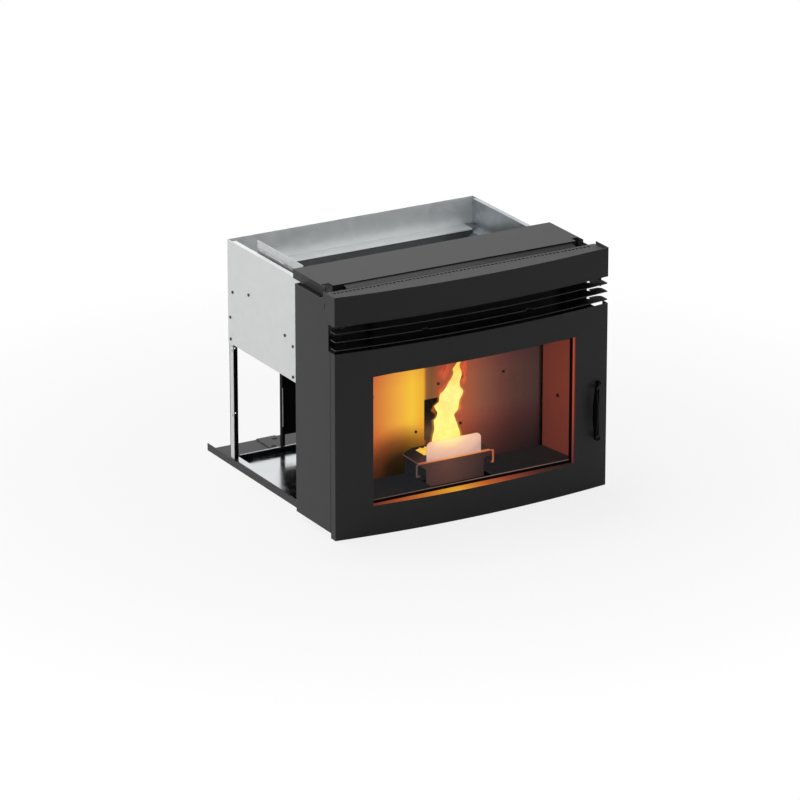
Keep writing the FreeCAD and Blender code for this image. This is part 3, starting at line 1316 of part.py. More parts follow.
def build_door():
    tall = ("door_bottom", "door_top")
    front = bowed_sheet("door_front", both("half"), tall)
    returns = [box(f"door_return_{side}", mirrored(sign, "side_inner", "half"),
                   ("front", behind("door_return")), tall)
               for side, sign in SIDES]
    wall = "panel_sheet"
    reveal_z = (f"aperture_bottom - {wall}", f"aperture_top + {wall}")
    reveal = common("door_reveal", bowed_disc("door_reveal_disc", reveal_z),
                    box("door_reveal_reach", both(f"aperture_half + {wall}"),
                        ("bow_front - overcut", "reveal_y"), reveal_z))
    aperture = box("door_aperture", both("aperture_half"),
                   ("bow_front - 2 * overcut", "reveal_y + overcut"),
                   ("aperture_bottom", "aperture_top"))
    slot = box("door_hook_slot", ("pivot_offset - hook_slot + hook_width / 2 + hook_play",
                                  "pivot_offset + hook_width / 2 + hook_play"),
               ("bow_front", "front + bow_sag / 2"),
               ("lever_mid - hook_height / 2 - hook_play", "lever_mid + hook_height / 2 + hook_play"))
    node("door_panel", cut("door", fuse("door_sheet", front, reveal, *returns), aperture, slot))

    lap = ("aperture_half + glass_overlap",
           ("aperture_bottom - glass_overlap", "aperture_top + glass_overlap"))
    clear = ("aperture_half - seal_lap", ("aperture_bottom + seal_lap", "aperture_top - seal_lap"))
    node("glass_seal", ring("seal", lap, clear, ("reveal_y", "seal_y")))
    node("door_glass", box("glass", both(lap[0]), ("seal_y", "glass_y"), lap[1]))
    opening = ("aperture_half + glass_overlap - retainer_wall",
               ("aperture_bottom - glass_overlap + retainer_wall",
                "aperture_top + glass_overlap - retainer_wall"))
    rim = ring("retainer", lap, opening, ("glass_y", "inner_frame_y"))
    margin = "inner_frame_margin"
    face = ring("inner_frame", ("inner_frame_half",
                                (f"aperture_bottom - {margin}", f"aperture_top + {margin}")),
                opening, ("inner_frame_y", "inner_frame_back"))
    node("door_inner_frame", fuse("glass_frame", rim, face))
    mouth = "frame_mouth_half"
    edge = "frame_mouth_margin + rope_inset"
    node("door_rope", ring("rope", (f"{mouth} + rope_inset + rope_width",
                                    (f"aperture_bottom - ({edge}) - rope_width",
                                     f"aperture_top + {edge} + rope_width")),
                           (f"{mouth} + rope_inset",
                            (f"aperture_bottom - ({edge})", f"aperture_top + {edge}")),
                           ("inner_frame_back", "frame_face - rope_gap")))

    x = ("hinge_x - hinge_block_half", "hinge_x + hinge_block_half")
    y = ("hinge_y - hinge_block_half", "hinge_y + hinge_block_half")
    levels = {
        "low": ("hinge_base + hinge_end_play", "hinge_base + hinge_pin_length + hinge_end_play"),
        "high": ("door_top - hinge_pin_length - hinge_end_play", "door_top - hinge_end_play"),
    }
    blocks = []
    for level, z in levels.items():
        block = box(f"hinge_block_{level}", x, y, z)
        bore = rod(f"hinge_bore_{level}", "z", ("hinge_x", "hinge_y"),
                   (f"{z[0]} - overcut", f"{z[1]} + overcut"),
                   "hinge_pin_radius + run_gap")
        blocks.append(cut(f"hinge_knuckle_{level}", block, bore))
    blocks += handle_ears()
    node("door_fittings", group("door_fitting_set", *blocks))

    arm = box("hinge_arm_low", ("hinge_x", "hinge_x + hinge_arm_length"),
              ("hinge_y - hinge_arm_half", "hinge_y + hinge_arm_half"),
              ("pan_top", "hinge_base"))
    pad = rod("hinge_pad_low", "z", ("hinge_x", "hinge_y"), ("pan_top", "hinge_base"),
              "hinge_pin_radius + hinge_pad_wall")
    pin = rod("hinge_pin_low", "z", ("hinge_x", "hinge_y"), ("pan_top", "hinge_base + hinge_pin_length"),
              "hinge_pin_radius")
    lower = fuse("hinge_bracket_low", arm, pad, pin)
    ear_z = ("door_top + hinge_ear_gap", "door_top + hinge_ear_gap + hinge_plate")
    ear = box("hinge_ear_high", ("-side_inner", "hinge_x + hinge_block_half"),
              ("hinge_y - hinge_block_half", behind("side_louvre_depth + hinge_ear_depth")), ear_z)
    drop = rod("hinge_pin_high", "z", ("hinge_x", "hinge_y"), ("door_top - hinge_pin_length", ear_z[1]),
               "hinge_pin_radius")
    node("hinge_brackets", group("hinge_bracket_pair", lower, fuse("hinge_bracket_high", ear, drop)))


def handle_ears():
    """The two lugs on the door front that carry the handle shaft."""
    ears = []
    for level, z in (("low", "lever_low"), ("high", "lever_high")):
        tall = (f"{z} - ear_height / 2", f"{z} + ear_height / 2")
        lug = box(f"ear_lug_{level}", ("pivot_offset - ear_half", "pivot_offset + ear_half"),
                  ("pivot_y - ear_half", "front + ear_root"), tall)
        bore = rod(f"ear_bore_{level}", "z", ("pivot_offset", "pivot_y"),
                   (f"{tall[0]} - overcut", f"{tall[1]} + overcut"),
                   "pivot_radius + run_gap")
        ears.append(cut(f"ear_{level}", lug, bore, bowed_disc(f"ear_back_{level}", tall)))
    return ears


def build_handle():
    shaft = rod("lever_shaft", "z", ("pivot_offset", "pivot_y"),
                ("lever_low - ear_height", "lever_high + ear_height"),
                "pivot_radius")
    arms = []
    corners = (("pivot_offset + arm_half", "pivot_y - arm_half"),
               ("pivot_offset - arm_half", "pivot_y + arm_half"),
               ("grip_offset - arm_half", "grip_y + arm_half"),
               ("grip_offset + arm_half", "grip_y - arm_half"))
    for level, low in (("low", "lever_low + ear_height / 2 + arm_gap"),
                       ("high", "lever_high - ear_height / 2 - arm_gap - arm_height")):
        arms.append(plate(f"lever_arm_{level}", "XY_Plane", corners, low, f"{low} + arm_height"))
    hook = box("lever_hook", ("pivot_offset - hook_width / 2", "pivot_offset + hook_width / 2"),
               ("pivot_y", behind("hook_end")), ("lever_mid - hook_height / 2",
                                                 "lever_mid + hook_height / 2"))
    lever = node("handle_lever", fuse("lever", shaft, hook, *arms))

    spot = ("grip_offset", "grip_y")
    spindle = fuse("grip_spindle",
                   cone("grip_foot", spot, ("grip_low", "grip_low + grip_taper"), "grip_tip_radius",
                        "grip_radius"),
                   rod("grip_belly", "z", spot, ("grip_low + grip_taper", "grip_high - grip_taper"),
                       "grip_radius"),
                   cone("grip_head", spot, ("grip_high - grip_taper", "grip_high"), "grip_radius",
                        "grip_tip_radius"))
    node("handle_grip", cut("grip", spindle, lever))

    x = ("pivot_offset - keeper_width / 2", "pivot_offset + keeper_width / 2")
    edge = "(hook_height / 2 + keeper_gap)"
    whole = (f"lever_mid - {edge} - keeper_lug", f"lever_mid + {edge} + keeper_lug")
    base = box("keeper_base", x, ("frame_face - keeper_sheet", "frame_face"), whole)
    lugs = [box(f"keeper_lug_{level}", x, ("frame_face - keeper_reach", "frame_face"), z)
            for level, z in (("low", (whole[0], f"lever_mid - {edge}")),
                             ("high", (f"lever_mid + {edge}", whole[1])))]
    node("latch_keeper", fuse("keeper", base, *lugs))


def build_electrics():
    node("control_box", box("control", ("control_left", "control_right"),
                            ("rear_inner - control_depth", "rear_inner"),
                            ("control_low", "control_high")))
    x = ("power_offset - power_half", "power_offset + power_half")
    z = ("power_height - power_tall", "power_height + power_tall")
    block = box("power_block", x, ("power_y", "rear"), z)
    flange = box("power_flange_plate", ("power_offset - power_half - power_rim",
                                        "power_offset + power_half + power_rim"),
                 ("rear", "rear + power_flange"),
                 ("power_height - power_tall - power_rim", "power_height + power_tall + power_rim"))
    socket_x = "power_offset - rocker_shift"
    socket = box("power_socket", (f"{socket_x} - socket_half", f"{socket_x} + socket_half"),
                 ("power_y + socket_floor", "rear + power_flange + overcut"),
                 ("power_height - socket_tall", "power_height + socket_tall"))
    wide = "rocker_half + rocker_side_gap"
    well = box("power_well", (f"rocker_x - ({wide})", f"rocker_x + {wide}"),
               ("rocker_y - rocker_well", "rear + power_flange + overcut"),
               ("power_height - rocker_tall - rocker_gap", "power_height + rocker_tall + rocker_gap"))
    pivot = rod("power_pivot", "x", ("rocker_y", "power_height"),
                ("rocker_x - rocker_half - rocker_pin_reach - rocker_pin_play",
                 "rocker_x + rocker_half + rocker_pin_reach + rocker_pin_play"),
                "rocker_pin_radius + run_gap")
    pins = [rod(f"power_contact_{i}", "y", (f"{socket_x} + {i} * contact_pitch", "power_height"),
                ("power_y + contact_root", "rear - contact_setback"), "contact_radius")
            for i in (-1, 0, 1)]
    node("power_inlet", fuse("power", cut("power_case", fuse("power_solid", block, flange), socket, well,
                                          pivot), *pins))

    key = box("rocker_key", ("rocker_x - rocker_half", "rocker_x + rocker_half"),
              ("rocker_y - rocker_sink", "rocker_y - rocker_sink + rocker_thick"),
              ("power_height - rocker_tall", "power_height + rocker_tall"))
    pin = rod("rocker_pin", "x", ("rocker_y", "power_height"),
              ("rocker_x - rocker_half - rocker_pin_reach", "rocker_x + rocker_half + rocker_pin_reach"),
              "rocker_pin_radius")
    node("switch_rocker", fuse("rocker", key, pin))


def build_screws():
    heads = []
    # Each head on the casing sides, as a share of the casing's depth and height.
    spots = ((0.932, 0.512), (0.708, 0.577), (0.968, 0.256), (0.965, 0.045), (0.212, 0.394), (0.103, 0.333),
             (0.103, 0.041))
    for i, (along, up) in enumerate(spots):
        spot = (f"casing_front + {along} * (rear - casing_front)",
                f"casing_bottom + {up} * (casing_top - casing_bottom)")
        for side, sign in SIDES:
            heads.append(rod(f"casing_screw_{side}_{i}", "x", spot,
                             mirrored(sign, "casing_half", "casing_half + screw_head"), "screw_radius"))
    # Each head on the back liner, as a share of its half width and of its height.
    for i, (along, up) in enumerate(((0, 0.585), (-0.618, 0.582), (0.618, 0.582), (-0.211, 0.276),
                                     (0.211, 0.276))):
        spot = (f"{along} * firebox_rear_half",
                f"hearth_top + {up} * (shell_top - shell_wall - hearth_top)")
        heads.append(rod(f"liner_screw_{i}", "y", spot, ("back_face - screw_head", "back_face"),
                         "screw_radius"))
    node("screws", group("screw_set", *heads))


for build in (build_tray, build_carriage, build_casing, build_panels, build_firebox, build_pot, build_feed,
              build_smoke, build_blower, build_door, build_handle, build_electrics, build_screws):
    build()
doc.recompute()

for item in doc.Objects:
    if {"Invalid", "Error"} & set(item.State):
        raise RuntimeError(f"{item.Name} did not build: {item.State}")
for piece in NODES:
    if piece.Shape.isNull() or not piece.Shape.isValid() or not piece.Shape.Solids:
        raise RuntimeError(f"{piece.Label} has no sound shape")

os.makedirs("parts", exist_ok=True)
for piece in NODES:
    piece.Shape.exportStep(f"parts/{piece.Label}.step")
    print(f"{piece.Label}: {len(piece.Shape.Solids)} solid(s), {piece.Shape.Volume / 1000:.1f} cm3")
print(len(NODES), "nodes")
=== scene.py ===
import math

import bmesh
import bpy
from mathutils import Matrix, Vector


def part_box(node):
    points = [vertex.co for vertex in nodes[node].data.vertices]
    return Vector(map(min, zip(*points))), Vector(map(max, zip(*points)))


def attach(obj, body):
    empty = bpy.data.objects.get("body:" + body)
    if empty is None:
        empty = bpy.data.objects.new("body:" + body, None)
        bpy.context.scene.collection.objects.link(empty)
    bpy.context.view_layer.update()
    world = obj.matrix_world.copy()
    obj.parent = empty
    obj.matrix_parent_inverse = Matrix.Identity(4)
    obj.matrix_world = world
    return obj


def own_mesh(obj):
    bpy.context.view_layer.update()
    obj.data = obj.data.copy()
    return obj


# A pellet fireplace insert: finishes for its CAD nodes, and its fire, thin trim, floor, light and camera

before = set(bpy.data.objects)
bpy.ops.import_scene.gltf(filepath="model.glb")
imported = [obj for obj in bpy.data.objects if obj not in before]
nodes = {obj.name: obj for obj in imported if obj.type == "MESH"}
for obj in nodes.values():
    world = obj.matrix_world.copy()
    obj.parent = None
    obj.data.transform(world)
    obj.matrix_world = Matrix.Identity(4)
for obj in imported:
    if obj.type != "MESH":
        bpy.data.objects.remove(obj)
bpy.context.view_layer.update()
scene = bpy.context.scene


# Places read from the model's parts or measured along them, in metres

FIREBOX_LOW, FIREBOX_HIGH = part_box("liner_back")
SEAL_LOW, SEAL_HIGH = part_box("glass_seal")
POT_LOW, POT_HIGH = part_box("burn_pot")
PLATE_LOW, PLATE_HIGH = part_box("flame_plate")
COVER_LOW, COVER_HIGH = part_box("top_cover")
STRIP_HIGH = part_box("top_strip")[1]
PAN_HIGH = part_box("carriage_pan")[1]
POST_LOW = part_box("service_post")[0]
SEAL_LAP = 0.010
SEAL_REACH = 0.007
SILL = SEAL_LOW.z + SEAL_LAP
JAMB = SEAL_HIGH.x - SEAL_LAP
HEAD = SEAL_HIGH.z - SEAL_LAP
JAMB_FRONT, JAMB_BACK = -0.349, -0.335
POT_RIM = PLATE_LOW.z
POT_HALF = 0.0935
HOOK_START = POT_HALF + 0.0004
SLAT_LIT = (0.300, 0.325)
LEDGE_LEFT, LEDGE_RIGHT = -0.285, 0.30

# Levels that part two colours of one sheet, in metres. Past them the bin, the posts and the pan wear painted
# shade; in front of REAR_OUTER the rear casing's inner face wears painted light.

BIN_RIM = 0.474
BIN_RIGHT = 0.298
REAR_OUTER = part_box("casing_rear")[1].y - 0.0007
POST_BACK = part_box("rear_posts")[1].y - 0.0022
PAN_BACK = PAN_HIGH.y - 0.0018

# How far a face may lie off a level and still be taken as lying on it

FACE_SLACK = 0.0007
DOOR_SLACK = 0.0002


# Node helpers

def connect(tree, source, socket):
    """Feed a socket from another socket, or set it to a plain value."""
    if isinstance(source, bpy.types.NodeSocket):
        tree.links.new(source, socket)
    else:
        socket.default_value = source


def add(tree, kind, feeds=(), **settings):
    """A node with its settings and with what feeds its inputs."""
    node = tree.nodes.new(kind)
    for key, value in settings.items():
        setattr(node, key, value)
    for socket, source in dict(feeds).items():
        connect(tree, source, node.inputs[socket])
    return node


def maths(tree, operation, *sources, **settings):
    """The result of a maths node."""
    return add(tree, "ShaderNodeMath", enumerate(sources), operation=operation, **settings).outputs[0]


def vector_maths(tree, operation, *sources):
    """The result of a vector maths node: a length is a number, all else a vector."""
    outputs = add(tree, "ShaderNodeVectorMath", enumerate(sources), operation=operation).outputs
    return outputs["Value" if operation == "LENGTH" else "Vector"]


def noise(tree, where, scale, detail, **feeds):
    """The outputs of a noise texture."""
    feeds.update(Vector=where, Scale=scale, Detail=detail)
    return add(tree, "ShaderNodeTexNoise", feeds).outputs


def spread(tree, source, low, high, start=0.0, end=1.0):
    """A source that runs from start to end, stretched to run from low to high."""
    feeds = {"Value": source, "From Min": start, "From Max": end, "To Min": low, "To Max": high}
    return add(tree, "ShaderNodeMapRange", feeds).outputs[0]


def ramp(tree, source, stops):
    """Colours at stops along a source."""
    node = tree.nodes.new("ShaderNodeValToRGB")
    while len(node.color_ramp.elements) < len(stops):
        node.color_ramp.elements.new(0.5)
    for element, (spot, colour) in zip(node.color_ramp.elements, stops):
        element.position = spot
        element.color = (*colour, 1.0)
    tree.links.new(source, node.inputs["Fac"])
    return node.outputs["Color"]


def shares(low, high, stops):
    """Ramp stops given as places, moved to shares of a span."""
    return tuple(((spot - low) / (high - low), colour) for spot, colour in stops)


def mixed(tree, mask, under, over, blend="MIX"):
    """One colour over another where the mask is 1. The node's colours are inputs 6 and 7 and output 2."""
    node = add(tree, "ShaderNodeMix", data_type="RGBA", blend_type=blend)
    for socket, source in ((node.inputs[0], mask), (node.inputs[6], under), (node.inputs[7], over)):
        connect(tree, (*source, 1.0) if isinstance(source, tuple) else source, socket)
    return node.outputs[2]


def shaded(tree, colour, shade):
    """A colour darkened by another."""
    return mixed(tree, 1.0, colour, shade, "MULTIPLY")


def coordinates(tree, vector):
    """The X, Y and Z of a vector."""
    return add(tree, "ShaderNodeSeparateXYZ", {0: vector}).outputs


def at_level(tree, source, level, slack=FACE_SLACK):
    """1 where a coordinate is at a level, 0 elsewhere."""
    return maths(tree, "COMPARE", source, level, slack)


def above(tree, source, level):
    """1 where a coordinate is past a level, 0 elsewhere."""
    return maths(tree, "GREATER_THAN", source, level)


# Shader groups shared by several finishes

def shader_group(name, inputs, outputs):
    """A node group with a Vector and further inputs, number outputs, and the sockets at its two ends."""
    tree = bpy.data.node_groups.new(name, "ShaderNodeTree")
    for label, value in {"Vector": (0.0, 0.0, 0.0), **inputs}.items():
        kind = "NodeSocketVector" if isinstance(value, tuple) else "NodeSocketFloat"
        socket = tree.interface.new_socket(label, in_out="INPUT", socket_type=kind)
        socket.default_value = value
    for label in outputs:
        tree.interface.new_socket(label, in_out="OUTPUT", socket_type="NodeSocketFloat")
    return tree, tree.nodes.new("NodeGroupInput").outputs, tree.nodes.new("NodeGroupOutput").inputs


def enamel_grain():
    """Fine orange-peel of a stoved paint, and the slow mottle of handling."""
    inputs = {"Peel": 900.0, "Mottle Scale": 7.0}
    tree, given, result = shader_group("enamel_grain", inputs, ("Height", "Mottle"))
    peel = noise(tree, given["Vector"], given["Peel"], detail=2.0)
    slow = noise(tree, given["Vector"], given["Mottle Scale"], detail=5.0)
    tree.links.new(peel["Fac"], result["Height"])
    tree.links.new(slow["Fac"], result["Mottle"])
    return tree


def zinc_spangle():
    """The crystal flowers of galvanised sheet, with faint rolling marks."""
    wobble_scale, wobble_reach = 25.0, (0.02, 0.02, 0.02)
    rolling_scale, rolling_stretch = 6.0, (40.0, 40.0, 1.5)
    tree, given, result = shader_group("zinc_spangle", {"Crystal": 70.0}, ("Spangle", "Rolled"))
    wobble = noise(tree, given["Vector"], wobble_scale, detail=3.0)
    drift = vector_maths(tree, "MULTIPLY", wobble["Color"], wobble_reach)
    moved = vector_maths(tree, "ADD", given["Vector"], drift)
    cells = add(tree, "ShaderNodeTexVoronoi", {"Vector": moved, "Scale": given["Crystal"]})
    shade = add(tree, "ShaderNodeSeparateColor", {0: cells.outputs["Color"]})
    stretch = add(tree, "ShaderNodeMapping", {"Vector": given["Vector"], "Scale": rolling_stretch})
    marks = noise(tree, stretch.outputs[0], rolling_scale, detail=4.0)
    tree.links.new(shade.outputs[0], result["Spangle"])
    tree.links.new(marks["Fac"], result["Rolled"])
    return tree


def fire_glow():
    """How strongly a point is lit by the fire: 1 at its heart, 0 beyond its reach."""
    inputs = {"Heart": (0.0, 0.0, 0.0), "Squeeze": (1.0, 1.0, 1.0), "Reach": 0.3}
    tree, given, result = shader_group("fire_glow", inputs, ("Glow",))
    away = vector_maths(tree, "SUBTRACT", given["Vector"], given["Heart"])
    shaped = vector_maths(tree, "MULTIPLY", away, given["Squeeze"])
    share = maths(tree, "DIVIDE", vector_maths(tree, "LENGTH", shaped), given["Reach"])
    tree.links.new(maths(tree, "SUBTRACT", 1.0, share, use_clamp=True), result["Glow"])
    return tree


def scorch():
    """Cloudy soot and ash staining."""
    grit_scale = 700.0
    tree, given, result = shader_group("scorch", {"Scale": 12.0}, ("Soot", "Grit"))
    cloud = noise(tree, given["Vector"], given["Scale"], detail=6.0, Roughness=0.6)
    grit = noise(tree, given["Vector"], grit_scale, detail=2.0)
    tree.links.new(cloud["Fac"], result["Soot"])
    tree.links.new(grit["Fac"], result["Grit"])
    return tree


def box_share():
    """How far along each side of a box a point lies, from 0 to 1."""
    inputs = {"Low": (0.0, 0.0, 0.0), "High": (1.0, 1.0, 1.0)}
    tree, given, result = shader_group("box_share", inputs, ("Across", "Deep", "Up"))
    inside = vector_maths(tree, "SUBTRACT", given["Vector"], given["Low"])
    size = vector_maths(tree, "SUBTRACT", given["High"], given["Low"])
    share = coordinates(tree, vector_maths(tree, "DIVIDE", inside, size))
    for label, axis in (("Across", "X"), ("Deep", "Y"), ("Up", "Z")):
        tree.links.new(share[axis], result[label])
    return tree


GRAIN = enamel_grain()
SPANGLE = zinc_spangle()
GLOW = fire_glow()
SCORCH = scorch()
SHARE = box_share()


# Kinds of finish

def blank(name):
    """A node material with its tree, its shader and its own Object coordinates."""
    material = bpy.data.materials.new(name)
    material.use_nodes = True
    tree = material.node_tree
    shader = tree.nodes["Principled BSDF"]
    where = tree.nodes.new("ShaderNodeTexCoord").outputs["Object"]
    return material, tree, shader, where


def place_group(tree, group, where, **values):
    """A shared group set into a tree. The keys are the names of its inputs."""
    node = tree.nodes.new("ShaderNodeGroup")
    node.node_tree = group
    tree.links.new(where, node.inputs["Vector"])
    for key, value in values.items():
        node.inputs[key.replace("_", " ").title()].default_value = value
    return node.outputs


def relief(tree, shader, height, depth, strength):
    """Fine bumps of a surface."""
    bump = add(tree, "ShaderNodeBump", {"Distance": depth, "Strength": strength, "Height": height})
    tree.links.new(bump.outputs[0], shader.inputs["Normal"])


def tint(tree, shader, mask, deep, pale, start=0.3, end=0.7):
    """Base colour that runs between two shades along a mask."""
    tree.links.new(ramp(tree, mask, ((start, deep), (end, pale))), shader.inputs["Base Color"])


def roughen(tree, shader, mask, rough, play):
    """Roughness that plays about a value along a mask."""
    tree.links.new(spread(tree, mask, rough - play, rough + play), shader.inputs["Roughness"])


def stoved(name, deep, pale, rough, shine=0.15):
    """Stoved satin paint on sheet steel, with its tree, shader and coordinates for more nodes."""
    material, tree, shader, where = blank(name)
    grain = place_group(tree, GRAIN, where)
    tint(tree, shader, grain["Mottle"], deep, pale)
    roughen(tree, shader, grain["Mottle"], rough, play=0.05)
    shader.inputs["Specular IOR Level"].default_value = shine
    relief(tree, shader, grain["Height"], depth=0.0002, strength=0.12)
    return material, tree, shader, where


def stove_paint(*values, **options):
    """Stoved satin paint as it is."""
    return stoved(*values, **options)[0]


def galvanised(name, deep, pale, rough, crystal=70.0, metallic=0.85, painted_shading=()):
    """Zinc-coated sheet.

    Each entry of painted_shading has an axis, a level and two shades, for what lies under the level on Z,
    behind it on Y or right of it on X. On the bin, the posts and the pan these are painted shade; on the
    rear casing they are the plain zinc of the outer face, beside painted light elsewhere.
    """
    material, tree, shader, where = blank(name)
    zinc = place_group(tree, SPANGLE, where, crystal=crystal)
    colour = ramp(tree, zinc["Spangle"], ((0.0, deep), (1.0, pale)))
    for axis, level, shades in painted_shading:
        mask = above(tree, coordinates(tree, where)[axis], level)
        if axis == "Z":
            mask = maths(tree, "SUBTRACT", 1.0, mask)
        colour = mixed(tree, mask, colour, ramp(tree, zinc["Spangle"], tuple(zip((0.0, 1.0), shades))))
    tree.links.new(colour, shader.inputs["Base Color"])
    roughen(tree, shader, zinc["Spangle"], rough, play=0.04)
    shader.inputs["Metallic"].default_value = metallic
    relief(tree, shader, zinc["Rolled"], depth=0.0003, strength=0.05)
    return material


def plain_metal(name, deep, pale, rough, metallic=1.0):
    """Drawn or cast metal with fine marks along it."""
    material, tree, shader, where = blank(name)
    marks = place_group(tree, SPANGLE, where)["Rolled"]
    tint(tree, shader, marks, deep, pale)
    roughen(tree, shader, marks, rough, play=0.08)
    shader.inputs["Metallic"].default_value = metallic
    relief(tree, shader, marks, depth=0.0003, strength=0.1)
    return material


def moulded(name, deep, pale, rough, shine=0.3):
    """Fine-textured moulding."""
    material, tree, shader, where = blank(name)
    grain = place_group(tree, GRAIN, where, peel=1500.0)
    tint(tree, shader, grain["Mottle"], deep, pale)
    roughen(tree, shader, grain["Height"], rough, play=0.06)
    shader.inputs["Specular IOR Level"].default_value = shine
    relief(tree, shader, grain["Height"], depth=0.0002, strength=0.25)
    return material


def sooty(name, deep, pale, rough, metallic=0.0):
    """Firebox surface with cloudy soot and ash grit, still without the light of the fire."""
    material, tree, shader, where = blank(name)
    soot = place_group(tree, SCORCH, where)
    tint(tree, shader, soot["Soot"], deep, pale, start=0.35)
    roughen(tree, shader, soot["Soot"], rough, play=0.1)
    shader.inputs["Metallic"].default_value = metallic
    shader.inputs["Specular IOR Level"].default_value = 0.05
    shader.inputs["Emission Strength"].default_value = 1.0
    relief(tree, shader, soot["Grit"], depth=0.0004, strength=0.2)
    return material, tree, shader, where


def lit_by_heart(name, deep, pale, rough, stops, heart, squeeze=(1.0, 1.0, 1.0), reach=0.3):
    """Firebox surface that is lit most at one place and less with distance from it."""
    material, tree, shader, where = sooty(name, deep, pale, rough)
    glow = place_group(tree, GLOW, where, heart=heart, squeeze=squeeze, reach=reach)
    tree.links.new(ramp(tree, glow["Glow"], stops), shader.inputs["Emission Color"])
    return material


# Light of the fire on the back liner: by place across, by height, and in the shade beside the pot

WALL_ACROSS = (
    (-0.200, (0.55, 0.150, 0.040)), (-0.160, (0.65, 0.190, 0.045)), (-0.110, (0.84, 0.370, 0.050)),
    (-0.067, (0.93, 0.560, 0.045)), (-0.038, (0.86, 0.420, 0.035)), (-0.031, (0.30, 0.105, 0.030)),
    (-0.018, (0.20, 0.090, 0.035)), (0.004, (0.38, 0.080, 0.035)), (0.060, (0.42, 0.105, 0.045)),
    (0.117, (0.22, 0.074, 0.045)), (0.162, (0.135, 0.046, 0.035)), (0.200, (0.085, 0.036, 0.030)),
    (0.262, (0.056, 0.029, 0.026)), (0.271, (0.0, 0.0, 0.0)))
WALL_UP = (
    (0.066, (0.26, 0.27, 0.33)), (0.085, (0.36, 0.35, 0.42)), (0.112, (0.50, 0.44, 0.52)),
    (0.140, (0.72, 0.56, 0.64)), (0.165, (0.92, 0.78, 0.85)), (0.190, (1.0, 1.0, 1.0)),
    (0.270, (1.0, 1.0, 1.0)), (0.330, (0.88, 0.68, 0.95)))
WALL_SHADE = (
    (0.0, (1.0, 1.0, 1.0)), (0.35, (0.42, 0.36, 0.45)), (0.7, (0.07, 0.07, 0.12)), (1.0, (0.04, 0.05, 0.08)))
WALL_SHADE_HEART = (-0.098, FIREBOX_LOW.y, 0.072)
WALL_SLACK = Vector((0.0, 0.001, 0.0))


def back_wall():
    """Back liner: yellow left of the fuel chute, brown over it, red to black towards the right."""
    material, tree, shader, where = sooty("back_wall", (0.008, 0.006, 0.005), (0.015, 0.011, 0.009), 0.8)
    low, high = FIREBOX_LOW, FIREBOX_HIGH
    place = place_group(tree, SHARE, where, low=low, high=high + WALL_SLACK)
    across = ramp(tree, place["Across"], shares(low.x, high.x, WALL_ACROSS))
    up = ramp(tree, place["Up"], shares(low.z, high.z, WALL_UP))
    beside = place_group(tree, GLOW, where, heart=WALL_SHADE_HEART, squeeze=(0.9, 0.0, 0.9), reach=0.098)
    shade = ramp(tree, beside["Glow"], WALL_SHADE)
    tree.links.new(shaded(tree, shaded(tree, across, up), shade), shader.inputs["Emission Color"])
    return material


# Light of the fire on the pot's body, and along its rim and hooks

POT_BODY = (
    (0.0, (0.012, 0.011, 0.011)), (0.5, (0.034, 0.021, 0.019)), (0.9, (0.10, 0.045, 0.037)),
    (1.0, (0.125, 0.050, 0.040)))
POT_EDGE = (
    (0.02, (0.10, 0.065, 0.06)), (0.06, (0.30, 0.11, 0.07)), (0.25, (0.66, 0.19, 0.055)),
    (0.5, (0.84, 0.33, 0.055)), (0.8, (0.68, 0.22, 0.06)), (1.0, (0.42, 0.10, 0.05)))
POT_HEART = (-0.02, POT_LOW.y, POT_RIM - 0.01)


def pot_casting():
    """Burn pot: brown apron, an orange-lit rim in front of the plate, and bright lifting hooks."""
    material, tree, shader, where = sooty("pot_casting", (0.010, 0.007, 0.0075), (0.017, 0.012, 0.012), 0.55,
                                          metallic=0.3)
    glow = place_group(tree, GLOW, where, heart=POT_HEART, squeeze=(1.0, 4.0, 1.0), reach=0.2)
    body = ramp(tree, glow["Glow"], POT_BODY)
    place = place_group(tree, SHARE, where, low=POT_LOW, high=POT_HIGH)
    edge = ramp(tree, place["Across"], POT_EDGE)
    spot = coordinates(tree, where)
    on_rim = at_level(tree, spot["Z"], POT_RIM)
    on_hook = above(tree, maths(tree, "ABSOLUTE", spot["X"]), HOOK_START)
    lit = maths(tree, "MAXIMUM", on_rim, on_hook)
    tree.links.new(mixed(tree, lit, body, edge), shader.inputs["Emission Color"])
    return material


# Painted fire light on the flame plate, strongest over its top
PLATE_GLOW = (
    (0.0, (0.30, 0.15, 0.13)), (0.30, (0.36, 0.19, 0.165)), (0.37, (0.48, 0.27, 0.20)),
    (0.6, (0.62, 0.37, 0.22)), (0.85, (0.86, 0.66, 0.20)))
PLATE_HEART = (-0.005, PLATE_LOW.y, PLATE_HIGH.z + 0.01)


def flame_steel():
    """Heat-bleached plate in front of the flame. Its emission is painted fire light: dim all over, yellow
    where the fire licks over its top.
    """
    lick_scale, lick_reach = 30.0, (0.012, 0.0, 0.012)
    material, tree, shader, where = sooty("flame_steel", (0.40, 0.28, 0.24), (0.50, 0.37, 0.32), 0.45)
    lick = noise(tree, where, lick_scale, detail=3.0)
    moved = vector_maths(tree, "ADD", where, vector_maths(tree, "MULTIPLY", lick["Color"], lick_reach))
    glow = place_group(tree, GLOW, moved, heart=PLATE_HEART, squeeze=(0.55, 1.0, 1.0), reach=0.075)
    tree.links.new(ramp(tree, glow["Glow"], PLATE_GLOW), shader.inputs["Emission Color"])
    return material


# Light of the fire on the door's opening: along the sill, up the jambs, and from front to back of the jambs

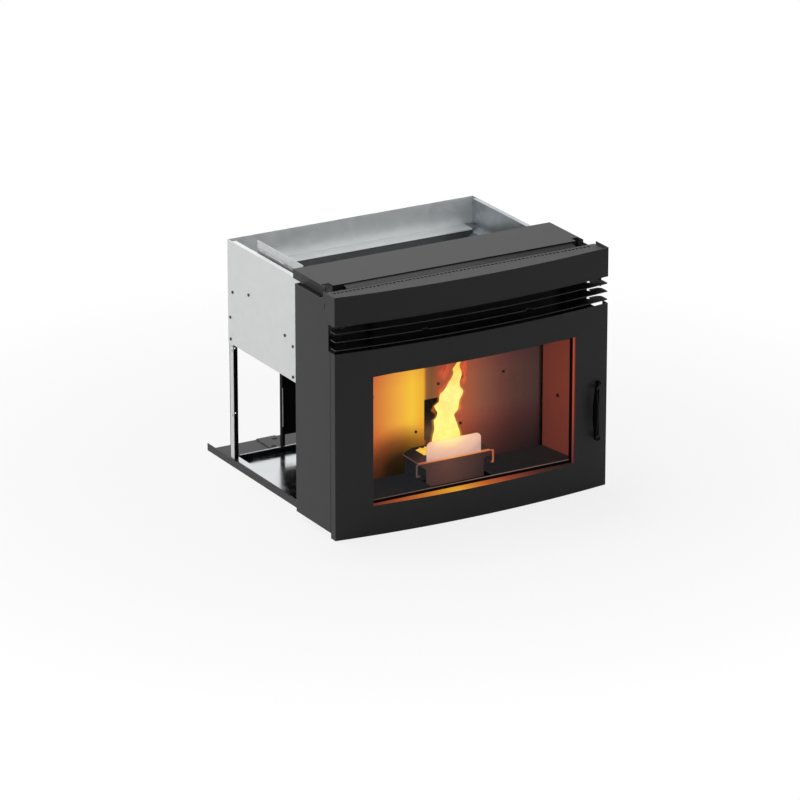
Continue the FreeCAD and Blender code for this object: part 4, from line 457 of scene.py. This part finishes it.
SILL_GLOW = (
    (-0.260, (0.130, 0.022, 0.012)), (-0.190, (0.34, 0.068, 0.015)), (-0.130, (0.51, 0.14, 0.017)),
    (-0.050, (0.71, 0.33, 0.017)), (-0.010, (0.60, 0.21, 0.017)), (0.030, (0.47, 0.10, 0.017)),
    (0.085, (0.26, 0.044, 0.017)), (0.160, (0.072, 0.018, 0.012)), (0.240, (0.020, 0.009, 0.008)))
JAMB_GLOW = (
    (0.0, (0.13, 0.024, 0.026)), (0.4, (0.33, 0.058, 0.024)), (0.7, (0.42, 0.062, 0.020)),
    (1.0, (0.36, 0.060, 0.036)))
JAMB_INWARD = ((0.0, (0.16, 0.20, 0.5)), (0.4, (0.24, 0.26, 0.6)), (0.65, (1.0, 1.0, 1.0)))
PAINT = ((0.055, 0.055, 0.056), (0.061, 0.061, 0.062), 0.5)
UNLIT = (0.0, 0.0, 0.0)


def door_paint():
    """Door enamel, with the fire's light on the sill and the jambs of its opening."""
    material, tree, shader, where = stoved("door_enamel", *PAINT)
    place = place_group(tree, SHARE, where, low=(-JAMB, JAMB_FRONT, SILL), high=(JAMB, JAMB_BACK, HEAD))
    sill = ramp(tree, place["Across"], shares(-JAMB, JAMB, SILL_GLOW))
    jamb = shaded(tree, ramp(tree, place["Up"], JAMB_GLOW), ramp(tree, place["Deep"], JAMB_INWARD))
    spot = coordinates(tree, where)
    out = maths(tree, "ABSOLUTE", spot["X"])
    foot = at_level(tree, spot["Z"], SILL, DOOR_SLACK)
    on_sill = maths(tree, "MULTIPLY", foot, maths(tree, "LESS_THAN", out, JAMB))
    flank = at_level(tree, out, JAMB, DOOR_SLACK)
    on_jamb = maths(tree, "MULTIPLY", flank, at_level(tree, spot["Z"], (SILL + HEAD) / 2, (HEAD - SILL) / 2))
    lit = mixed(tree, on_jamb, mixed(tree, on_sill, UNLIT, sill), jamb)
    tree.links.new(lit, shader.inputs["Emission Color"])
    shader.inputs["Emission Strength"].default_value = 1.0
    return material


def slat_paint():
    """Louvre enamel: grey along the edges and at the open right ends as painted highlight, near black on the
    flats between as painted shade.
    """
    # The grey of edges and open ends is painted highlight; the black on flats left of SLAT_LIT is painted
    # shade
    shaded_flat_black, flat_limit = (0.002, 0.002, 0.002), 0.5
    material, tree, shader, where = stoved("slat_enamel", (0.12, 0.12, 0.121), (0.13, 0.13, 0.131), 0.5,
                                           shine=0.02)
    paint = shader.inputs["Base Color"].links[0].from_socket
    facing = coordinates(tree, where.node.outputs["Normal"])["Z"]
    flat = above(tree, maths(tree, "ABSOLUTE", facing), flat_limit)
    inside = spread(tree, coordinates(tree, where)["X"], 1.0, 0.0, *SLAT_LIT)
    mask = maths(tree, "MULTIPLY", flat, inside)
    tree.links.new(mixed(tree, mask, paint, shaded_flat_black), shader.inputs["Base Color"])
    return material


# Painted shade along the cover ledge: its colour runs from the enamel's grey to black towards the right
LEDGE_SHADES = (
    (0.0, (0.046, 0.046, 0.047)), (0.40, (0.042, 0.042, 0.043)), (0.75, (0.006, 0.006, 0.006)),
    (1.0, (0.002, 0.002, 0.002)))


def ledge_shade():
    """Front enamel that falls away to black along the right of the ledge: painted shade."""
    material, tree, shader, where = stoved("ledge_painted_shade", *PAINT)
    place = place_group(tree, SHARE, where, low=(LEDGE_LEFT, 0.0, 0.0), high=(LEDGE_RIGHT, 1.0, 1.0))
    tree.links.new(ramp(tree, place["Across"], LEDGE_SHADES), shader.inputs["Base Color"])
    return material


def clear_glass():
    """Clear heat-proof glass with a faint warm tint. Its low IOR keeps reflections from veiling the fire."""
    material, tree, shader, where = blank("clear_glass")
    grain = place_group(tree, GRAIN, where, peel=300.0)
    tint(tree, shader, grain["Mottle"], (0.97, 0.96, 0.94), (1.0, 0.99, 0.97))
    tree.links.new(spread(tree, grain["Mottle"], 0.0, 0.006), shader.inputs["Roughness"])
    shader.inputs["Transmission Weight"].default_value = 1.0
    shader.inputs["IOR"].default_value = 1.03
    return material


def ember_finish():
    """Glowing fuel: yellow heat with darker ash between."""
    heat_scale = 160.0
    heat_glow = ((0.3, (0.75, 0.22, 0.02)), (0.45, (0.92, 0.50, 0.05)), (0.7, (1.0, 0.74, 0.14)))
    material, tree, shader, where = sooty("ember_glow", (0.06, 0.03, 0.02), (0.16, 0.10, 0.07), 0.9)
    heat = noise(tree, where, heat_scale, detail=3.0)
    tree.links.new(ramp(tree, heat["Fac"], heat_glow), shader.inputs["Emission Color"])
    return material


# The finishes, and the CAD nodes that wear them

front_enamel = stove_paint("front_enamel", *PAINT)
door_enamel = door_paint()
slat_enamel = slat_paint()
tray_enamel = stove_paint("tray_enamel", (0.059, 0.059, 0.061), (0.066, 0.066, 0.068), 0.5)
black_enamel = stove_paint("black_enamel", (0.006, 0.006, 0.0065), (0.010, 0.010, 0.0105), 0.55, shine=0.05)
motor_black = stove_paint("motor_black", (0.02, 0.02, 0.022), (0.035, 0.035, 0.037), 0.4)
zinc_sheet = galvanised("zinc_sheet", (0.60, 0.605, 0.605), (0.62, 0.625, 0.625), 0.5)
# The rear casing's inner face is far paler than the other zinc: painted light. Behind REAR_OUTER its outer
# face keeps plain zinc.
rear_zinc_painted_light = galvanised("rear_zinc_painted_light", (0.92, 0.94, 0.95), (0.95, 0.97, 0.98), 0.5, metallic=1.0,
                       painted_shading=(("Y", REAR_OUTER, ((0.56, 0.57, 0.575), (0.62, 0.63, 0.635))),))
# A darker copy of the casing zinc for the right wall: painted shade
right_zinc_shaded = galvanised("right_zinc_shaded", (0.40, 0.43, 0.45), (0.46, 0.49, 0.51), 0.35, metallic=1.0)
guide_zinc = galvanised("guide_zinc", (0.50, 0.51, 0.515), (0.55, 0.56, 0.565), 0.45)
# Behind PAN_BACK the pan's back edge is near black: painted shade
pan_zinc = galvanised("pan_zinc", (0.66, 0.68, 0.69), (0.70, 0.72, 0.73), 0.16, crystal=45.0, metallic=1.0,
                      painted_shading=(("Y", PAN_BACK, ((0.028, 0.031, 0.033), (0.032, 0.035, 0.037))),))
# Below BIN_RIM the bin's funnel is near black, and right of BIN_RIGHT it is darker: painted shade
bin_zinc = galvanised("bin_zinc", (0.64, 0.65, 0.65), (0.68, 0.69, 0.69), 0.34, crystal=45.0,
                      painted_shading=(("Z", BIN_RIM, ((0.050, 0.055, 0.057), (0.060, 0.065, 0.067))),
                            ("X", BIN_RIGHT, ((0.15, 0.17, 0.18), (0.17, 0.19, 0.20)))))
# Behind POST_BACK the back leg of each post is near black: painted shade
post_zinc = galvanised("post_zinc", (0.595, 0.60, 0.60), (0.61, 0.615, 0.615), 0.4,
                       painted_shading=(("Y", POST_BACK, ((0.009, 0.009, 0.010), (0.011, 0.011, 0.012))),))
drawn_steel = plain_metal("drawn_steel", (0.45, 0.45, 0.46), (0.58, 0.58, 0.6), 0.35)
black_screw = plain_metal("black_screw", (0.006, 0.006, 0.006), (0.012, 0.012, 0.012), 0.5, metallic=0.4)
cast_alloy = plain_metal("cast_alloy", (0.45, 0.46, 0.47), (0.55, 0.56, 0.57), 0.55, metallic=0.9)
black_mould = moulded("black_mould", (0.012, 0.012, 0.013), (0.02, 0.02, 0.021), 0.5)
grip_black = moulded("grip_black", (0.002, 0.002, 0.002), (0.004, 0.004, 0.004), 0.35, shine=0.02)
red_key = moulded("red_key", (0.42, 0.02, 0.015), (0.5, 0.03, 0.02), 0.3)
seal_rope = moulded("seal_rope", (0.002, 0.002, 0.002), (0.005, 0.005, 0.005), 0.9, shine=0.1)
wall_board = back_wall()
side_board = lit_by_heart(
    "side_board", (0.008, 0.006, 0.005), (0.013, 0.009, 0.008), 0.8,
    ((0.0, (0.07, 0.018, 0.014)), (0.5, (0.13, 0.028, 0.020)), (1.0, (0.20, 0.040, 0.023))),
    heart=(0.0, -0.32, 0.24), squeeze=(0.0, 1.0, 0.8), reach=0.28)
hearth_black = lit_by_heart(
    "hearth_black", (0.006, 0.006, 0.0065), (0.010, 0.010, 0.010), 0.6,
    ((0.0, (0.012, 0.013, 0.015)), (0.4, (0.012, 0.012, 0.013)), (1.0, (0.014, 0.010, 0.009))),
    heart=(0.29, -0.25, 0.06))
chute_soot = lit_by_heart(
    "chute_soot", (0.010, 0.009, 0.008), (0.02, 0.018, 0.016), 0.7,
    ((0.0, (0.008, 0.006, 0.005)), (0.5, (0.03, 0.016, 0.010)), (1.0, (0.13, 0.062, 0.035))),
    heart=(0.0, FIREBOX_LOW.y, 0.150), squeeze=(0.3, 1.0, 1.0), reach=0.05)
# Painted reflection: a pale strip at the foot of the glass, with painted fire light on it
glint_grey = lit_by_heart(
    "glint_grey", (0.12, 0.115, 0.11), (0.18, 0.175, 0.17), 0.5,
    ((0.0, (0.05, 0.035, 0.03)), (0.6, (0.14, 0.085, 0.075)), (1.0, (0.20, 0.12, 0.105))),
    heart=(0.06, SEAL_HIGH.y, SILL), reach=0.36)
pot_iron = pot_casting()
fire_lit_steel = flame_steel()
glass_clear = clear_glass()
ember_glow = ember_finish()
ledge_painted_shade = ledge_shade()

FINISH = {
    tray_enamel: ("base_tray", "anchor_plate"),
    drawn_steel: ("fixed_rails", "runners", "auger_screw", "igniter", "exhaust_impeller", "blower_wheel"),
    black_screw: ("screws",),
    pan_zinc: ("carriage_pan",),
    bin_zinc: ("hopper_bin",),
    post_zinc: ("rear_posts",),
    rear_zinc_painted_light: ("casing_rear",),
    right_zinc_shaded: ("casing_right",),
    guide_zinc: ("guide_plate",),
    zinc_sheet: ("casing_left", "casing_front", "auger_tube", "air_inlet", "flue_spigot", "blower_housing"),
    chute_soot: ("drop_chute",),
    # panel_brackets wear this near-black enamel as painted shade in the slit under the cover's side flanges
    black_enamel: ("service_post", "service_panel", "front_frame", "hinge_brackets", "latch_keeper",
                   "door_inner_frame", "door_fittings", "panel_brackets", "firebox_shell", "ash_pan"),
    front_enamel: ("side_panel_left", "side_panel_right", "top_cover", "top_strip", "fascia"),
    slat_enamel: ("slat_1", "slat_2", "slat_3"),
    door_enamel: ("door_panel",),
    hearth_black: ("hearth_plate", "pot_stand"),
    wall_board: ("liner_back",),
    side_board: ("side_liners", "baffle"),
    pot_iron: ("burn_pot",),
    fire_lit_steel: ("flame_plate",),
    motor_black: ("auger_gearmotor", "exhaust_motor", "blower_motor"),
    cast_alloy: ("exhaust_housing",),
    glass_clear: ("door_glass",),
    seal_rope: ("glass_seal", "door_rope"),
    grip_black: ("handle_grip", "handle_lever"),
    black_mould: ("control_box", "power_inlet"),
    red_key: ("switch_rocker",),
}
for finish, names in FINISH.items():
    for name in names:
        nodes[name].data.materials.clear()
        nodes[name].data.materials.append(finish)


# Camera, floor and light

CAMERA_SPOT = (-5.5706, -9.6610, 4.2225)
CAMERA_TURN = (70, 0, -30)
CAMERA_LENS = 234.94
CAMERA_SENSOR = 36.0
CAMERA_END = 60.0
FLOOR_SIZE = 30.0
FLOOR_GREY = (0.6, 0.6, 0.6, 1.0)
FLOOR_ROUGH = 0.9
# Near the part the floor is seen as white by this share, so that its shadow shows. The share grows to 1
# between these two distances.
FLOOR_SHARE = 0.85
FLOOR_FADE = (0.55, 1.4)
WORLD_LIGHT, WORLD_WHITE = 0.07, 1.0


def set_camera():
    """The viewpoint of the photo."""
    data = bpy.data.cameras.new("camera")
    data.sensor_width = CAMERA_SENSOR
    data.lens = CAMERA_LENS
    data.clip_end = CAMERA_END
    camera = bpy.data.objects.new("camera", data)
    camera.location = CAMERA_SPOT
    camera.rotation_euler = [math.radians(turn) for turn in CAMERA_TURN]
    scene.collection.objects.link(camera)
    scene.camera = camera


def looked_at(tree):
    """1 on rays that the picture shows: from the camera, off a shiny face or through glass."""
    path = tree.nodes.new("ShaderNodeLightPath").outputs
    seen = maths(tree, "MAXIMUM", path["Is Camera Ray"], path["Is Glossy Ray"])
    return maths(tree, "MAXIMUM", seen, path["Is Transmission Ray"])


def studio_floor():
    """A pale floor that the camera sees as white, apart from the shadow on it."""
    mesh = bpy.data.meshes.new("floor")
    form = bmesh.new()
    bmesh.ops.create_grid(form, x_segments=1, y_segments=1, size=FLOOR_SIZE)
    form.to_mesh(mesh)
    form.free()
    floor = bpy.data.objects.new("floor", mesh)
    scene.collection.objects.link(floor)
    material, tree, shader, where = blank("pale_floor")
    shader.inputs["Base Color"].default_value = FLOOR_GREY
    shader.inputs["Roughness"].default_value = FLOOR_ROUGH
    shader.inputs["Specular IOR Level"].default_value = 0.0
    white = tree.nodes.new("ShaderNodeEmission")
    fade = spread(tree, vector_maths(tree, "LENGTH", where), FLOOR_SHARE, 1.0, *FLOOR_FADE)
    share = maths(tree, "MULTIPLY", looked_at(tree), fade)
    mix = add(tree, "ShaderNodeMixShader", {"Fac": share, 1: shader.outputs[0], 2: white.outputs[0]})
    tree.links.new(mix.outputs[0], tree.nodes["Material Output"].inputs["Surface"])
    mesh.materials.append(material)


def studio_world():
    """Dim even light, and white where the camera looks past the floor."""
    world = bpy.data.worlds.new("studio")
    scene.world = world
    world.use_nodes = True
    tree = world.node_tree
    back = tree.nodes["Background"]
    tree.links.new(spread(tree, looked_at(tree), WORLD_LIGHT, WORLD_WHITE), back.inputs["Strength"])
    back.inputs["Color"].default_value = (1, 1, 1, 1)


def softbox(name, spot, aim, size, power, fan):
    """A square area light that looks at a point; fan is its spread in degrees."""
    data = bpy.data.lights.new(name, "AREA")
    data.shape = "SQUARE"
    data.size = size
    data.energy = power
    data.spread = math.radians(fan)
    lamp = bpy.data.objects.new(name, data)
    lamp.location = spot
    lamp.rotation_euler = (Vector(aim) - Vector(spot)).to_track_quat("-Z", "Y").to_euler()
    scene.collection.objects.link(lamp)


set_camera()
studio_floor()
studio_world()
softbox("left_softbox", spot=(-3.5, 0.9, 1.4), aim=(-0.35, 0.0, 0.3), size=2.0, power=12.6, fan=90)
softbox("top_softbox", spot=(-0.2, 0.9, 3.4), aim=(0, 0.05, 0.5), size=2.6, power=18.8, fan=60)
scene.view_settings.view_transform = "Standard"


# The fire

FLAME_Y = -0.222
FLAME_TIP = 0.33
BED_TOP = POT_HIGH.z - 0.001
# The foot of the flame in metres, then each level of it in millimetres: height, middle and half width.
FLAME_FOOT = (BED_TOP - 0.002, -0.002, 0.032)
FLAME_LEVELS = ((140, -2, 36), (152, -2, 35), (171, -3, 30), (189, -7, 28), (198, -4, 23), (208, 2, 27),
                (222, -1, 32), (231, 6, 27), (243, 10, 30), (250, 12, 29), (260, 14, 20), (273, 18, 15),
                (285, 25, 13), (295, 27, 11), (304, 24, 10), (312, 27, 6), (322, 33, 3))
FLAME_SIDES = 20
CORE_SWELL, CORE_DEPTH = -0.001, 0.5
MANTLE_SHELLS = (0.0012, 0.0026, 0.0042)
MANTLE_DEPTH = 0.55
# Each loose tongue: its foot across, behind the flame's middle and up, then height, width, lean and twist.
WISPS = ((-0.012, 0.0, 0.282, 0.040, 0.017, 0.006, 1.0), (0.004, 0.008, 0.290, 0.042, 0.014, 0.010, 2.2),
         (0.040, 0.0, 0.262, 0.056, 0.013, 0.010, 0.6), (0.048, 0.006, 0.286, 0.046, 0.011, 0.004, 1.7),
         (-0.034, 0.0, 0.205, 0.026, 0.008, -0.002, 1.2), (0.030, 0.0, 0.196, 0.040, 0.010, 0.006, 0.3),
         (-0.012, 0.006, 0.236, 0.044, 0.014, 0.018, 0.5))
WISP_SHELLS = (1.0, 0.8, 0.6, 0.4)
WISP_BELLY = 0.8
WISP_TIP = 1.1
WISP_BEND = 1.5
WISP_DEPTH = 0.5
WISP_CURL, WISP_WAVES = 0.25, 8

CORE_GLOW = (
    (0.0, (0.98, 0.90, 0.22)), (0.3, (0.95, 0.99, 0.28)), (0.65, (0.95, 0.99, 0.32)),
    (0.9, (1.0, 0.80, 0.14)), (1.0, (1.0, 0.60, 0.08)))
MANTLE_GLOW = ((0.0, (1.0, 0.55, 0.06)), (0.5, (0.95, 0.36, 0.04)), (1.0, (0.85, 0.13, 0.03)))
WISP_GLOW = ((0.0, (0.80, 0.20, 0.03)), (0.5, (0.78, 0.12, 0.04)), (1.0, (0.70, 0.09, 0.05)))


def burning(name, stops, low, thin):
    """Burning gas: its colour follows the height, ragged by noise, and thin gives its two alpha ends."""
    lick_scale, lick_reach, lick_span = 40.0, 0.06, (0.35, 0.65)
    material, tree, shader, where = blank(name)
    lick = noise(tree, where, lick_scale, detail=4.0)["Fac"]
    sway = maths(tree, "MULTIPLY", lick, lick_reach)
    height = maths(tree, "ADD", coordinates(tree, where)["Z"], sway)
    share = spread(tree, height, 0.0, 1.0, low + lick_reach / 2, FLAME_TIP + lick_reach / 2)
    tree.links.new(ramp(tree, share, stops), shader.inputs["Emission Color"])
    tree.links.new(spread(tree, lick, *thin, *lick_span), shader.inputs["Alpha"])
    shader.inputs["Emission Strength"].default_value = 1.0
    shader.inputs["Base Color"].default_value = (0.2, 0.05, 0.01, 1)
    shader.inputs["Roughness"].default_value = 1.0
    shader.inputs["Specular IOR Level"].default_value = 0.0
    return material


def join_form(whole, part):
    """Add one bmesh to another."""
    mesh = bpy.data.meshes.new("joined")
    part.to_mesh(mesh)
    part.free()
    whole.from_mesh(mesh)
    bpy.data.meshes.remove(mesh)


def flame_column(form, levels, swell, depth):
    """A ragged column of fire: a ring drawn up through its levels and closed at both ends."""
    ring = bmesh.ops.create_circle(form, segments=FLAME_SIDES, radius=1.0)["verts"]
    edges = list({edge for vert in ring for edge in vert.link_edges})
    height, middle, width = levels[0]
    wide = width + swell
    bmesh.ops.scale(form, vec=(wide, wide * depth, 1.0), verts=ring)
    bmesh.ops.translate(form, vec=(middle, FLAME_Y, height), verts=ring)
    for top, centre, half in levels[1:]:
        grown = bmesh.ops.extrude_edge_only(form, edges=edges)["geom"]
        ring = [item for item in grown if isinstance(item, bmesh.types.BMVert)]
        edges = [item for item in grown if isinstance(item, bmesh.types.BMEdge)]
        ratio = (half + swell) / wide
        back = Matrix.Translation((-middle, -FLAME_Y, 0.0))
        bmesh.ops.scale(form, vec=(ratio, ratio, 1.0), space=back, verts=ring)
        bmesh.ops.translate(form, vec=(centre - middle, 0.0, top - height), verts=ring)
        height, middle, wide = top, centre, half + swell
    bmesh.ops.holes_fill(form, edges=form.edges)
    bmesh.ops.subdivide_edges(form, edges=form.edges, cuts=2, smooth=0.5, fractal=0.55, along_normal=0.5,
                              seed=3)
    bmesh.ops.recalc_face_normals(form, faces=form.faces)


def wisp(form, foot, height, width, lean, twist):
    """A loose tongue: a ball drawn up into a leaning, twisting point."""
    made = bmesh.ops.create_uvsphere(form, u_segments=14, v_segments=16, radius=1.0)
    for vert in made["verts"]:
        rise = (vert.co.z + 1) / 2
        taper = math.sin(math.pi * rise ** WISP_BELLY) ** WISP_BELLY * (WISP_TIP - rise)
        turn = twist * rise
        x, y = vert.co.x, vert.co.y
        across = width * taper * (x * math.cos(turn) - y * math.sin(turn))
        behind = WISP_DEPTH * width * taper * (x * math.sin(turn) + y * math.cos(turn))
        curl = WISP_CURL * width * math.sin(WISP_WAVES * rise + twist)
        vert.co.x = foot[0] + across + lean * rise ** WISP_BEND + curl
        vert.co.y = foot[1] + behind
        vert.co.z = foot[2] + height * rise


def new_piece(name, form, finish, body, smooth=True):
    """Hand a finished bmesh over as a piece that rides a body."""
    mesh = bpy.data.meshes.new(name)
    form.to_mesh(mesh)
    form.free()
    for face in mesh.polygons:
        face.use_smooth = smooth
    mesh.materials.append(finish)
    piece = bpy.data.objects.new(name, mesh)
    scene.collection.objects.link(piece)
    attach(piece, body)
    return piece


def fire_piece(name, form, finish):
    """A piece of the flame, which rides the pot and keeps a mesh of its own."""
    piece = new_piece(name, form, finish, "pot")
    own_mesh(piece)


def flame():
    """The bright core, the thin mantle of shells round it, and loose tongues of shells."""
    levels = [FLAME_FOOT]
    levels += [(height / 1000, middle / 1000, half / 1000) for height, middle, half in FLAME_LEVELS]
    core = bmesh.new()
    flame_column(core, levels, CORE_SWELL, CORE_DEPTH)
    fire_piece("flame_core", core, burning("flame_heart", CORE_GLOW, low=0.12, thin=(1.0, 0.95)))
    mantle = bmesh.new()
    for swell in MANTLE_SHELLS:
        shell = bmesh.new()
        flame_column(shell, levels, swell, MANTLE_DEPTH)
        join_form(mantle, shell)
    fire_piece("flame_mantle", mantle, burning("flame_edge", MANTLE_GLOW, low=0.12, thin=(0.0, 0.09)))
    loose = bmesh.new()
    for across, behind, up, height, width, lean, twist in WISPS:
        for part in WISP_SHELLS:
            foot = (across, FLAME_Y + behind, up + (1 - part) * height / 2)
            wisp(loose, foot, height * part, width * part, lean, twist)
    fire_piece("flame_wisps", loose, burning("flame_tip", WISP_GLOW, low=0.20, thin=(0.0, 0.25)))


# The fuel: a mound with pellets strewn over it, which turn and tilt by their number

BED_FORWARD = 0.003
MOUND_SIZE = (0.142, 0.046, 0.034)
MOUND_FOOT = (0.8, 0.6, 1.0)
MOUND_SINK = 0.004
PELLETS = 150
PELLET_RADIUS, PELLET_LENGTH = 0.003, 0.013
PELLET_SINK = 0.0045
STREWN_ACROSS, STREWN_DEEP, STREWN_STEP = 0.066, 0.018, 2.399
TURN_STEP = 1.9
TILT, TILT_PLAY = 74, 14


def ember_bed():
    """Burning pellets heaped in the pot."""
    form = bmesh.new()
    middle = (PLATE_HIGH.y + POT_HIGH.y) / 2 - BED_FORWARD
    mound = bmesh.ops.create_cube(form, size=1.0)["verts"]
    bmesh.ops.scale(form, vec=MOUND_SIZE, verts=mound)
    low = [vert for vert in mound if vert.co.z < 0]
    bmesh.ops.scale(form, vec=MOUND_FOOT, verts=low)
    bmesh.ops.translate(form, vec=(0.0, middle, BED_TOP - MOUND_SINK - MOUND_SIZE[2] / 2), verts=mound)
    for count in range(PELLETS):
        share = (count + 0.5) / PELLETS
        x = STREWN_ACROSS * (2 * share - 1)
        y = middle + STREWN_DEEP * math.sin(count * STREWN_STEP)
        tilt = math.radians(TILT + TILT_PLAY * math.sin(count))
        spin = Matrix.Rotation(count * TURN_STEP, 4, "Z") @ Matrix.Rotation(tilt, 4, "Y")
        bmesh.ops.create_cone(form, cap_ends=True, segments=8, radius1=PELLET_RADIUS, radius2=PELLET_RADIUS,
                              depth=PELLET_LENGTH,
                              matrix=Matrix.Translation((x, y, BED_TOP - PELLET_SINK)) @ spin)
    new_piece("ember_bed", form, ember_glow, "pot", smooth=False)


# Thin trim

LIP_DEEP, LIP_TALL, LIP_ROUND = 0.0018, 0.0016, 0.0004
BOLT_RADIUS, BOLT_FLAT, BOLT_TURN = 0.0045, 0.5, 8.5
BOLT_SPOT = (0.2826, -0.2355, 0.197)
STRIP_ROUND = 0.0003
# The ledge lies under the cover's top by its two depths, and a gap in front of it.
LEDGE_UNDER, LEDGE_OVER, LEDGE_GAP, LEDGE_DROP = 0.0045, 0.003, 0.0005, 0.0035
PAN_LIP_HALF, PAN_LIP_DEEP, PAN_LIP_TALL = 0.295, 0.0025, 0.0015
# The service edge is a narrow zinc strip on the service post's front edge: painted highlight
EDGE_FOOT, EDGE_TOP, EDGE_WIDE, EDGE_DEEP = 0.071, 0.165, 0.002, 0.001


def bar(size, rounding):
    """A box about the origin with rounded edges."""
    form = bmesh.new()
    cube = bmesh.ops.create_cube(form, size=1.0)["verts"]
    bmesh.ops.scale(form, vec=size, verts=cube)
    bmesh.ops.bevel(form, geom=form.edges[:], offset=rounding, affect="EDGES", segments=2, profile=0.5,
                    material=-1)
    return form


def glass_foot_glint():
    """A pale strip along the foot of the glass: a painted reflection of the glass's lower edge, with painted
    fire light on it.
    """
    form = bar((2 * (JAMB - SEAL_REACH), LIP_DEEP, LIP_TALL), LIP_ROUND)
    spot = (0.0, SEAL_HIGH.y - LIP_DEEP / 2, SILL + SEAL_REACH + LIP_TALL / 2)
    bmesh.ops.translate(form, vec=spot, verts=form.verts[:])
    new_piece("glass_foot_glint", form, glint_grey, "door")


def liner_bolts():
    """One domed bolt in each side wall of the firebox."""
    form = bmesh.new()
    x, y, z = BOLT_SPOT
    for side in (-1, 1):
        head = bmesh.ops.create_uvsphere(form, u_segments=14, v_segments=8, radius=BOLT_RADIUS)["verts"]
        bmesh.ops.scale(form, vec=(BOLT_FLAT, 1.0, 1.0), verts=head)
        bmesh.ops.rotate(form, matrix=Matrix.Rotation(side * math.radians(BOLT_TURN), 3, "Z"), verts=head)
        bmesh.ops.translate(form, vec=(side * x, y, z), verts=head)
    new_piece("liner_bolts", form, black_screw, "carriage")


def sheet_strip(name, low, high, finish, drop=0.0):
    """A thin folded strip on the carriage, given by its two corners; drop lowers its front edge."""
    low, high = Vector(low), Vector(high)
    form = bar(high - low, STRIP_ROUND)
    front = [vert for vert in form.verts if vert.co.y < 0]
    bmesh.ops.translate(form, vec=(0.0, 0.0, -drop), verts=front)
    bmesh.ops.translate(form, vec=(low + high) / 2, verts=form.verts[:])
    new_piece(name, form, finish, "carriage", smooth=False)


flame()
ember_bed()
glass_foot_glint()
liner_bolts()
sheet_strip("cover_ledge", (LEDGE_LEFT, STRIP_HIGH.y, COVER_HIGH.z - LEDGE_UNDER),
            (LEDGE_RIGHT, COVER_LOW.y - LEDGE_GAP, COVER_HIGH.z - LEDGE_OVER), ledge_painted_shade,
            drop=LEDGE_DROP)
sheet_strip("pan_lip", (-PAN_LIP_HALF, PAN_HIGH.y - PAN_LIP_DEEP, PAN_HIGH.z),
            (PAN_LIP_HALF, PAN_HIGH.y, PAN_HIGH.z + PAN_LIP_TALL), zinc_sheet)
sheet_strip("service_edge_glint", (POST_LOW.x, POST_LOW.y - EDGE_DEEP, EDGE_FOOT),
            (POST_LOW.x + EDGE_WIDE, POST_LOW.y, EDGE_TOP), zinc_sheet)
